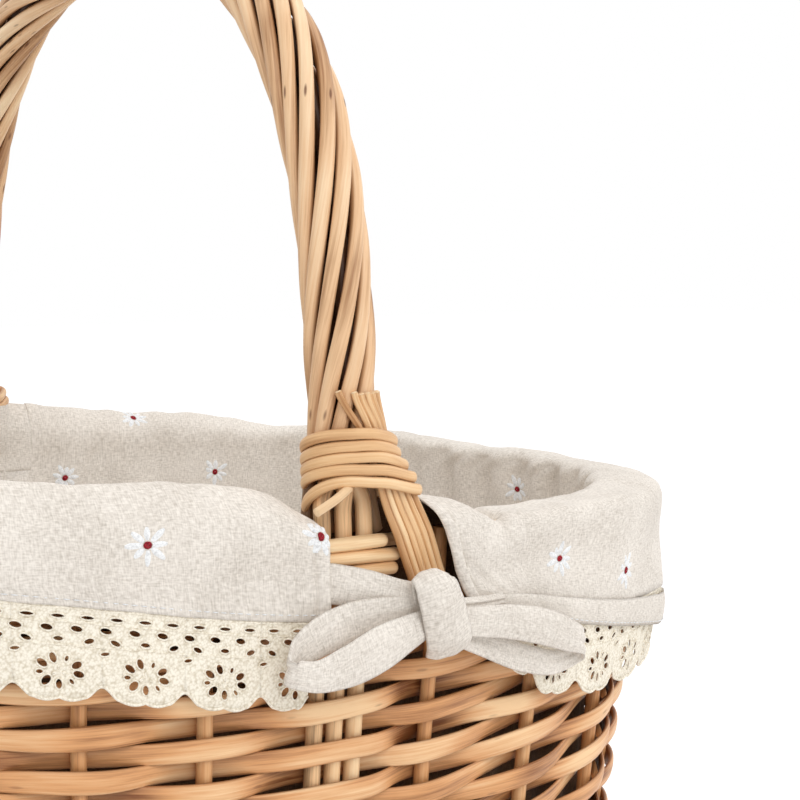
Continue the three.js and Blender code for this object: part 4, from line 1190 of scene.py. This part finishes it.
def cloth_points(arc, level):
    arc = np.mod(arc, RIM_LENGTH)
    height, out, down = cloth_at(arc, level)
    height = np.maximum(height, FLOOR_HEIGHT)
    inner = swell(level, 1.6, 3, 4.6, 5.6)
    outer = smooth(level, 6.6, 8)
    calm = smooth(from_foot(arc), 14, 44)
    out = out + inner * calm * (1.3 * wobble(arc, 46, 701) + 0.5 * wobble(arc + level * 14, 19, 702))
    out = out + outer * (0.45 * wobble(arc + level * 9, 33, 703) + 0.2 * wobble(arc - level * 21, 12, 704))
    crown = swell(level, 4.8, 5.6, 7.2, 8)
    height = height + crown * (0.7 * wobble(arc, 58, 705) + 0.3 * wobble(arc, 21, 706))
    away = from_foot(arc) - PUCKER_PLACE
    pucker = hill(away, np.where(away > 0, 2.2, 6.5)) * (arc < HALF / 2)
    height = height - 5.5 * pucker * swell(level, 4.6, 5.6, 6.5, 7.4)
    out = out - 3.2 * pucker * swell(level, 6, 6.7, 6.9, 8)
    out = out + welt(arc, level)
    pull = hill(arc - PULL_PLACE, PULL_WIDTH) + hill(arc - HALF + PULL_PLACE, PULL_WIDTH)
    out = out + outer * pull * 0.7 * np.sin((level - 7) * 5.5 + arc / 14)
    return wall_point(arc, height, out), down


def edges_at(table, level):
    return float(np.interp(level, [4, 5, 6, 7, 8, 9], table))


def welt(arc, level):
    """The turned edge stands a little off the flap and ends in a stitched groove."""
    table = np.where(on_right(arc), edges_at(RIGHT_EDGES, level), edges_at(LEFT_EDGES, level))
    inside = from_foot(arc) - table
    bump = swell(inside, -0.2, 1.0, 3.6, 4.6)
    groove = hill(inside - 4.9, 0.7)
    return smooth(level, 5.6, 6.6) * (0.9 * bump - 0.35 * groove)


EDGE_STEPS = np.array([0, 0.5, 1, 1.7, 2.5, 3.3, 3.9, 4.4, 4.9, 5.4, 6.2, 7.4, 9.2])


def flap_columns(side, level):
    """Column places of one flap at a level, closer together beside its edges."""
    edge = edges_at(RIGHT_EDGES if side == "right" else LEFT_EDGES, level)
    start = edge if side == "right" else HALF + edge
    end = start + HALF - 2 * edge
    middle = np.linspace(start + 12, end - 12, 204)
    if side == "right":
        dense = max(start + 12, 54.0)
        middle = np.concatenate([
            np.linspace(start + 10.2, dense, 23, endpoint=False),
            np.linspace(dense, dense + 14, 18, endpoint=False),
            np.linspace(dense + 14, end - 12, 163),
        ])
    return np.concatenate([start + EDGE_STEPS, middle, end - EDGE_STEPS[::-1]])


def notch_points(centre, level):
    """The cloth between two flaps stands up inside the foot of the handle and bends round it."""
    left, right = edges_at(LEFT_EDGES, level), edges_at(RIGHT_EDGES, level)
    if centre == 0:
        arcs = np.linspace(-left, right, 43)
    else:
        arcs = np.linspace(HALF - right, HALF + left, 43)
    across = arcs - centre
    height, out, _ = cloth_at(arcs, level)
    rise = smooth(height, RIM_HEIGHT - 7, RIM_HEIGHT + 10)
    reach = mix(LINER_INSET - 0.2, NOTCH_REACH, rise)
    bend = -np.sqrt(np.maximum(reach**2 - across**2, 0))
    out = np.where(np.abs(across) < reach, np.minimum(out, bend), out)
    return wall_point(arcs, height, out)


def cloth_rows(columns_at, levels):
    """Rows of points at the levels, and the mean length down the cloth of each row."""
    rings, downs = zip(*(cloth_points(columns_at(level), level) for level in levels))
    return np.stack(rings), np.stack(downs).mean(1)


def make_liner():
    shape = Shape()
    top = np.concatenate([
        flap_columns("right", 4),
        np.linspace(HALF - RIGHT_EDGES[0], HALF + LEFT_EDGES[0], 16)[1:-1],
        flap_columns("left", 4),
        np.linspace(RIM_LENGTH - LEFT_EDGES[0], RIM_LENGTH + RIGHT_EDGES[0], 16)[1:],
    ])
    levels = np.concatenate([np.linspace(0, 1, 9)[:-1], np.linspace(1, 4, 34)])
    rings, downs = cloth_rows(lambda level: top, levels)
    centre = np.array([[0, 0, FLOOR_HEIGHT]])
    inner = np.stack([centre + (rings[0] - centre) * share for share in np.linspace(0, 1, 16)])
    points = np.concatenate([inner[:-1], rings])
    v = np.concatenate([np.linspace(-80, 0, 16)[:-1], downs]) * 0.001
    shape.grid(points.transpose(1, 0, 2), top * 0.001, v, flip=True)
    for side in ("right", "left"):
        levels = np.concatenate([np.linspace(4, 8, 49)[:-1], np.linspace(8, 9, 9)])
        rings, downs = cloth_rows(lambda level: flap_columns(side, level), levels)
        columns = flap_columns(side, 7)
        shape.grid(rings.transpose(1, 0, 2), columns * 0.001, downs * 0.001, flip=True)
    for centre in (0.0, HALF):
        levels = np.linspace(4, 6, 25)
        rings = np.stack([notch_points(centre, level) for level in levels])
        down = length_along(rings[:, 20]) * 0.001 + 0.2
        shape.grid(rings.transpose(1, 0, 2), np.linspace(-0.02, 0.02, 43) + centre * 0.001, down, flip=True)
    mid = np.concatenate(shape.points)
    total = 0.0
    for index, face in enumerate(shape.faces):
        a, b, c, d = (mid[i] for i in face)
        total += np.linalg.norm(np.cross(c - a, d - b)) / 2
        if max(a[2], b[2], c[2], d[2]) < FLOOR_HEIGHT + 4:
            shape.uvs[4 * index : 4 * index + 4] = [(p[0] * 0.001, p[1] * 0.001) for p in (a, b, c, d)]
    bvh = BVHTree.FromPolygons([Vector(p) for p in mid.tolist()], shape.faces)
    # The side facing the weave takes the dark painted-shade linen; the other side and the rim take the plain
    # linen.
    liner = shape.made("linen_liner", PAINTED_SHADE_REVERSE, "linen", "liner", thickness=LINER_THICKNESS)
    liner.data.materials.append(LINEN)
    liner.modifiers["thickness"].material_offset = 1
    liner.modifiers["thickness"].material_offset_rim = 1
    weld = liner.modifiers.new("weld", "WELD")
    weld.merge_threshold = 0.0001
    bpy.context.view_layer.objects.active = liner
    liner.modifiers.move(1, 0)
    return liner, bvh, total * 1e-6


# Daisies embroidered on the cloth

def petal(angle, inner, outer, half_width):
    """Points of one petal: a domed long oval, pointing away from the middle."""
    rows, columns = 7, 5
    t = np.linspace(0, 1, rows)[:, None]
    w = np.linspace(-1, 1, columns)[None, :]
    r = mix(inner, outer, t) + 0 * w
    width = half_width * np.sin(math.pi * (0.12 + 0.8 * t)) ** 0.7
    side = width * w
    lift = 0.45 * (1 - w**2) * np.sin(math.pi * np.clip(t, 0.05, 0.95)) ** 0.5
    x = r * math.cos(angle) - side * math.sin(angle)
    y = r * math.sin(angle) + side * math.cos(angle)
    return np.stack([x, y, lift], -1)


def lay_on_cloth(bvh, flat, place, normal, turn):
    """Carries flat points to the cloth round a place, keeping their lift off it."""
    normal = np.array(normal)
    first = unit(np.cross(UP if abs(normal[2]) < 0.9 else np.array([1.0, 0, 0]), normal))
    second = np.cross(normal, first)
    a = math.cos(turn) * first + math.sin(turn) * second
    b = -math.sin(turn) * first + math.cos(turn) * second
    shape = flat.shape
    flat = flat.reshape(-1, 3)
    made = np.empty_like(flat)
    for i, (x, y, lift) in enumerate(flat):
        near, direction, _, _ = bvh.find_nearest(Vector(place + a * x + b * y))
        direction = np.array(direction)
        if direction.dot(normal) < 0:
            direction = -direction
        made[i] = np.array(near) + direction * (0.62 + lift)
    return made.reshape(shape)


DAISY_PIXELS = [
    (147, 545, 13.2), (65, 478, 12), (215, 472, 12), (133, 419, 13), (518, 489, 12),
    (558, 558, 13.2), (624, 570, 13), (320, 537, 12.5),
]


# Level down the cloth, spacing and shift of each row of daisies
DAISY_ROWS = ((8.5, 62, 0), (7.3, 62, 31), (4.6, 64, 12), (3.45, 64, 44), (2.7, 66, 10), (1.5, 70, 30))


def photographed(bvh, point):
    """True where the camera sees a point of the cloth inside its frame."""
    ray = point - EYE
    depth = ray.dot(FORWARD)
    x = PICTURE_MIDDLE + ray.dot(RIGHT) / depth * FOCAL_PIXELS
    y = PICTURE_MIDDLE + ray.dot(DOWN) / depth * FOCAL_PIXELS
    hit = bvh.ray_cast(Vector(EYE), Vector(ray).normalized())[0]
    covered = hit is not None and (np.array(hit) - EYE).dot(FORWARD) < depth - 9
    return max(abs(x - PICTURE_MIDDLE), abs(y - PICTURE_MIDDLE)) < PICTURE_MIDDLE + 25 and not covered


def daisy_places(bvh):
    """Daisies of the photographed side lie where its rays meet the cloth; the rest are spaced evenly."""
    eye = Vector(EYE)
    places = []
    for x, y, size in DAISY_PIXELS:
        across, down = x - PICTURE_MIDDLE, y - PICTURE_MIDDLE
        ray = FORWARD + RIGHT * across / FOCAL_PIXELS + DOWN * down / FOCAL_PIXELS
        hit, normal, _, _ = bvh.ray_cast(eye, Vector(ray).normalized())
        if hit is not None:
            normal = np.array(normal)
            facing = normal if normal.dot(EYE - np.array(hit)) > 0 else -normal
            places.append((np.array(hit), facing, size))
    fixed = len(places)
    index = 0
    for level, spacing, shift in DAISY_ROWS:
        for arc in np.arange(shift, RIM_LENGTH, spacing):
            index += 1
            place_arc = arc + 9 * math.sin(index * 2.4)
            away = from_foot(place_arc)
            if level > 4 and away < (70 if on_right(place_arc) else 24):
                continue
            point, _ = cloth_points(np.array([place_arc]), level + 0.1 * math.sin(index))
            near, normal, _, _ = bvh.find_nearest(Vector(point[0]))
            outward = wall_normal(place_arc) if level > 6 else -wall_normal(place_arc)
            normal = np.array(normal)
            normal = normal if normal.dot(outward + UP * 0.6) > 0 else -normal
            near = np.array(near)
            clear = all(np.linalg.norm(near - other[0]) > 34 for other in places[:fixed])
            if clear and not photographed(bvh, near):
                places.append((near, normal, 14))
    return places


def make_daisies(bvh):
    petals, hearts = Shape(), Shape()
    for index, (place, normal, size) in enumerate(daisy_places(bvh)):
        outer = size / 2
        count = 8 + index % 2
        for k in range(count):
            angle = 2 * math.pi * k / count
            grow = 1 + 0.16 * math.sin(index * 3 + k * 2.1)
            flat = petal(angle + 0.1 * math.sin(k * 4.7 + index), 1.6, outer * grow, 1.12)
            points = lay_on_cloth(bvh, flat, place, normal, index * 0.7)
            petals.grid(points, np.linspace(0, 0.006, 7), np.linspace(0, 0.002, 5))
        ring = np.linspace(0, 2 * math.pi, 13)[:-1]
        disc = np.stack([
            np.stack([r * np.cos(ring), 0.85 * r * np.sin(ring), 0 * ring + lift], -1)
            for r, lift in ((1.45, 0.15), (1.15, 0.5), (0.2, 0.65))
        ])
        points = lay_on_cloth(bvh, disc, place, normal, index * 0.7)
        hearts.grid(points, np.linspace(0, 0.002, 3), np.linspace(0, 0.006, 13), wrap=True)
    return [
        petals.made("daisy_petals", WHITE, "linen"),
        hearts.made("daisy_hearts", RED, "linen"),
    ]


# Hem band, stitches and lace

STITCH_LENGTH = 2.0


def add_stitches(shape, arcs, height_at, out_at):
    for arc in arcs:
        ends = np.array([arc - STITCH_LENGTH / 2, arc, arc + STITCH_LENGTH / 2])
        path = wall_point(ends, height_at(ends), out_at(ends) + np.array([-0.1, 0.22, -0.1]))
        add_tube(shape, path, np.array([0.12, 0.24, 0.12]), 5, tint=0.5)


def band_out(arc):
    return FLAP_HANG + 1.0 + 0.8 + fold(arc) + 5.6 * right_end(arc)


def make_hem_band():
    arcs = np.linspace(RIGHT_EDGES[5] - 4, HALF - RIGHT_EDGES[5] + 4, 260)
    across = np.linspace(0, 1, 9)
    base, top = band_low(arcs), band_top(arcs)
    shape = Shape()
    sides = []
    for sign in (1, -1):
        puff = sign * 0.8 * (1 - np.abs(2 * across - 1) ** 3)
        height = mix(base[:, None], top[:, None], across[None, :])
        out = band_out(arcs)[:, None] + puff[None, :] + 0.25 * wobble(arcs[:, None] + 4 * across, 11, 801)
        sides.append(wall_point(arcs[:, None], height, out))
    ring = np.concatenate([sides[0][:, ::-1], sides[1][:, 1:-1]], 1)
    v = np.concatenate([across[::-1], 1 + across[1:-1], [2]]) * 0.012
    shape.grid(ring, arcs * 0.001, v, wrap=True, caps=True)
    band = shape.made("linen_hem_band_right", LINEN, "linen", "hem_band_right")
    stitches = Shape()
    places = np.arange(RIGHT_EDGES[5], HALF - RIGHT_EDGES[5], 3.0)
    add_stitches(stitches, places, lambda a: band_low(a) + 1.4, lambda a: band_out(a) + 0.75)
    places = np.arange(HALF + 14, RIM_LENGTH - 14, 3.0)
    add_stitches(stitches, places, lambda a: hem_height(a) + 2.2, lambda a: FLAP_OFFSET + 2.1 + fold(a))
    line = stitches.made("linen_hem_stitches", WHITE, "linen")
    return band, line


def oval_ring(x, y, half_x, half_y, turn, count=12):
    angle = np.linspace(0, 2 * math.pi, count + 1)[:-1]
    px, py = half_x * np.cos(angle), half_y * np.sin(angle)
    c, s = math.cos(turn), math.sin(turn)
    return np.stack([x + px * c - py * s, y + px * s + py * c], -1)


def lace_holes():
    """Eyelets of one scallop: x from one valley to the next, y down from the top edge."""
    holes = []
    for k in range(3):
        holes.append((4.67 + 9.33 * k, 3.4, 2.3, 0.85, 0.0))
        holes.append((9.33 * k + 1.2, 7.2, 2.1, 1.25, 0.12))
    holes.append((SCALLOP - 4.2, 10.9, 1.9, 1.1, -0.35))
    holes.append((4.2, 10.9, 1.9, 1.1, 0.35))
    holes.append((14.0, 10.6, 1.8, 1.0, 0.0))
    holes.append((0.8, 14.6, 1.7, 0.85, -0.2))
    for k, size in enumerate((1.0, 0.62, 0.9, 1.05, 0.66, 1.0, 0.95, 0.6, 1.0)):
        angle = 2 * math.pi * (k + 0.3) / 9
        x, y = 14.2 + 6.3 * math.cos(angle), 20.9 + 4.3 * math.sin(angle)
        holes.append((x, y, 2.05 * size, 1.4 * size, angle))
    for k in range(3):
        angle = 2 * math.pi * k / 3 + 0.5
        holes.append((14.2 + 1.9 * math.cos(angle), 21.2 + 1.3 * math.sin(angle), 0.75, 0.3, angle))
    return holes


def lace_edge(x):
    """How far down the scalloped edge lies."""
    place = np.mod(x + 6, SCALLOP) - 6
    valley = 4.2 * np.cos(math.pi * np.clip(place, -6, 6) / 12) ** 2
    bumps = 0.9 * np.abs(np.sin(math.pi * (place - 6) / 8)) * (np.abs(place) > 6)
    return 29.6 - valley + bumps


def lace_tile(width=SCALLOP):
    """Triangles of one scallop, or of its first part, with its holes open, and the rings of the holes."""
    rings = []
    for x, y, half_x, half_y, turn in lace_holes():
        for shift in (-SCALLOP, 0, SCALLOP):
            if -half_x < x + shift < width + half_x:
                rings.append(oval_ring(x + shift, y, half_x, half_y, turn))
    xs = np.linspace(0, width, int(2 * width) + 1)
    spare = []
    for x in np.arange(1, width, 2.0):
        for y in np.arange(1.2, 28, 2.0):
            if y < lace_edge(x) - 0.8:
                spare.append((x, y))
    outline = [(x, 0.0) for x in xs] + [(x, float(lace_edge(x))) for x in xs[::-1]]
    points, edges = [], []

    def ring_of(loop):
        start = len(points)
        points.extend(loop)
        edges.extend((start + i, start + (i + 1) % len(loop)) for i in range(len(loop)))

    ring_of(outline)
    for ring in rings:
        ring_of([tuple(p) for p in ring])
    points.extend(spare)
    made = delaunay_2d_cdt([Vector(p) for p in points], edges, [], 0, 1e-4)
    flat = np.array([tuple(p) for p in made[0]])
    faces = []
    for face in made[2]:
        x, y = flat[list(face)].mean(0)
        if not (0 < x < width and 0 < y < lace_edge(x)):
            continue
        if any(inside(ring, x, y) for ring in rings):
            continue
        faces.append(list(face))
    return flat, faces, [ring for ring in rings if 0 <= ring[:, 0].mean() < width - (width < SCALLOP)]


def inside(ring, x, y):
    centre = ring.mean(0)
    if abs(x - centre[0]) > 3 or abs(y - centre[1]) > 3:
        return False
    ahead = np.roll(ring, -1, axis=0)
    cross = (ahead[:, 0] - ring[:, 0]) * (y - ring[:, 1]) - (ahead[:, 1] - ring[:, 1]) * (x - ring[:, 0])
    return bool((cross > 0).all())


LACE_PART = 18.8
LACE_STEP = 27.09
LACE_SPANS = (("right", 56.0, HALF - 56.0), ("left", HALF + 19.0, RIM_LENGTH - 19.0))
RIGHT_LACE_SIZE = ([56, 60, 67.5, 74.5, 89.5], [0.3, 0.38, 0.59, 0.79, 1.04])


def make_lace():
    whole, part = lace_tile(), lace_tile(LACE_PART)
    for side, start, end in LACE_SPANS:
        tail = LACE_PART * LACE_STEP / SCALLOP if side == "left" else 0.0
        count = int(round((end - start - tail) / LACE_STEP))
        step = (end - start - tail) / count

        def place(x, y, lift):
            arc = start + (k * SCALLOP + x) * step / SCALLOP
            if side == "right":
                y = y * np.interp(from_foot(arc), *RIGHT_LACE_SIZE)
            y = y * (0.84 + 0.16 * smooth(np.minimum(arc - start, end - arc), -0.5, 3.5))
            share = y / LACE_DEPTH
            ripple = (0.5 * np.sin(2 * math.pi * arc / 37) + 0.35 * wobble(arc, 23, 811)) * share
            out = FLAP_HANG + fold(arc) * (1 - 0.4 * share) + ripple + lift
            out = out + (6.0 - 0.12 * y) * right_end(arc)
            return wall_point(arc, hem_height(arc) + 0.2 - y, out)

        sheet, cords = Shape(), Shape()
        for k in range(count + (tail > 0)):
            flat, faces, rings = whole if k < count else part
            width = SCALLOP if k < count else LACE_PART
            points = place(flat[:, 0], flat[:, 1], 0.0)
            uvs = [[(flat[i, 0] * 0.001, flat[i, 1] * 0.001) for i in face] for face in faces]
            sheet.add(points, faces, uvs)
            for ring in rings:
                closed = np.concatenate([ring, ring[:1]])
                path = place(closed[:, 0], closed[:, 1], 0.32)
                add_tube(cords, path, 0.34, 5)
            xs = np.linspace(0, width, 29)
            add_tube(cords, place(xs, lace_edge(xs) - 0.2, 0.1), 0.55, 6)
            for y in (0.9, 5.2, 12.6):
                add_tube(cords, place(xs, 0 * xs + y + 0.12 * np.sin(xs), 0.25), 0.28, 5)
        lace = sheet.made(f"lace_{side}_cloth", LACE, "lace_cotton", f"lace_{side}", thickness=LACE_THICKNESS)
        trim = cords.made(f"lace_{side}_stitching", LACE, "lace_cotton")


# Tie

RIBBON_THICKNESS = 1.9
RIBBON_STEPS = 110


def add_ribbon(shape, stations, across, arch, folds, seed):
    """A flat tube of cloth. A station is arc, drop below the rim, offset and width; the width runs across."""
    stations = np.asarray(stations, float)
    spots = wall_point(stations[:, 0], RIM_HEIGHT - stations[:, 1], stations[:, 2])
    line = through(np.concatenate([spots, stations[:, 3:4]], 1), RIBBON_STEPS)
    path, width = line[:, :3], line[:, 3]
    along = unit(np.gradient(path, axis=0))
    across = np.broadcast_to(np.asarray(across, float), path.shape)
    side = unit(across - along * (across * along).sum(1, keepdims=True))
    face = np.cross(along, side)
    columns = 21
    w = np.linspace(-1, 1, columns)
    s = length_along(path)
    pinch = np.clip(1.5 - width / 11, 0.25, 1)
    wave = folds * pinch[:, None] * np.sin(w[None, :] * 8.2 + seed + 0.03 * s[:, None])
    wave = wave + 0.35 * folds * np.sin(w[None, :] * 3.0 + 0.11 * s[:, None] + seed)
    wave = wave - arch * w[None, :] ** 2
    half = RIBBON_THICKNESS / 2 * (1 - 0.75 * np.abs(w) ** 4)
    middle = path[:, None] + side[:, None] * (w[None, :, None] * width[:, None, None] / 2)
    top = middle + face[:, None] * (wave + half)[..., None]
    bottom = middle + face[:, None] * (wave - half)[..., None]
    ring = np.concatenate([top, bottom[:, ::-1][:, 1:-1]], 1)
    v = np.concatenate([(w + 1) / 2, 1 + (w[1:-1] + 1) / 2, [2]]) * 0.012
    shape.grid(ring, s * 0.001, v, wrap=True, caps=True, flip=True)
    return s[-1], float(np.sum(np.diff(s) * (width[1:] + width[:-1]) / 2))


STRAP = [
    (-16, 13.6, 9.9, 13.6), (-9, 15, 10.2, 13.6), (4, 18.2, 12.6, 13.2),
    (12, 20.3, 15.2, 11.6), (19, 21.7, 17.2, 10.6), (27, 23.5, 18.5, 9),
]
LEFT_LOOP = [
    (27, 26, 18, 8.5), (10, 26.4, 16.8, 12.5), (-7, 27.6, 16.6, 14.5), (-21.5, 31.2, 17.8, 13.5),
    (-31, 36.4, 20, 10), (-33.5, 39.2, 22.6, 9.4), (-28, 41.4, 24.8, 10), (-14, 40.2, 25, 14),
    (0.6, 36, 23.8, 16), (16, 31.6, 22, 12), (27, 29, 20, 9),
]
RIGHT_LOOP = [
    (28, 30.5, 20, 9), (41, 32, 21.5, 10.5), (55, 33.6, 22.5, 12), (73, 37.8, 23, 13),
    (88, 43.4, 22.3, 12), (98.5, 49, 20.4, 8.5), (99, 51.6, 18.4, 7.5), (88, 53.8, 17.4, 9),
    (72, 50.2, 17.2, 10), (50, 41, 17.4, 10), (32, 34, 17.6, 8),
]
TIE = [(27, 25, 18.8, 7), (38, 26.6, 17.9, 6), (50, 27.3, 16.4, 5.2), (60, 27.3, 15.3, 5)]
KNOT = [
    (24.5, 27, 16, 11), (23, 17, 17, 13.5), (22, 12.6, 20, 15.5), (22.6, 15, 23.6, 17), (24.6, 22, 26, 18),
    (27.6, 31, 26, 18), (30.6, 38.5, 24.2, 18), (32.4, 42.4, 21.2, 17),
]


def make_ties():
    along_wall = np.array([1.0, 0, 0])
    ribbons = [
        (STRAP, UP, 0.4, 0.35, 1),
        (LEFT_LOOP, UP, 0.3, 0.35, 2),
        (RIGHT_LOOP, UP, 0.5, 0.35, 3),
        (TIE, UP, 0.3, 0.3, 4),
        (KNOT, along_wall, 2.2, 0.55, 5),
    ]
    for side, flip in FEET:
        shape = Shape()
        length, area = 0.0, 0.0
        for stations, across, arch, folds, seed in ribbons:
            sizes = add_ribbon(shape, stations, across, arch, folds, seed)
            length, area = length + sizes[0], area + sizes[1]
        if flip:
            shape.points = [mirrored(points) for points in shape.points]
            shape.faces = [face[::-1] for face in shape.faces]
        bow = shape.made(f"linen_tie_bow_{side}", LINEN, "linen", f"tie_bow_{side}")


make_camera()
make_stage()
make_weaver("weaver_first", 0, 1)
make_weaver("weaver_second", STAKE_COUNT // 2, 0)
make_wedge("wedge_first", 0, 1)
make_wedge("wedge_second", STAKE_COUNT // 2, 0)
make_stakes()
make_rim()
make_foot()
make_base()
make_handle()
make_packing()
make_binding()
make_bundles()
liner, cloth_tree, cloth_area = make_liner()
daisies = make_daisies(cloth_tree)
band, stitches = make_hem_band()
make_lace()
make_ties()

bpy.context.scene.view_settings.view_transform = "Standard"
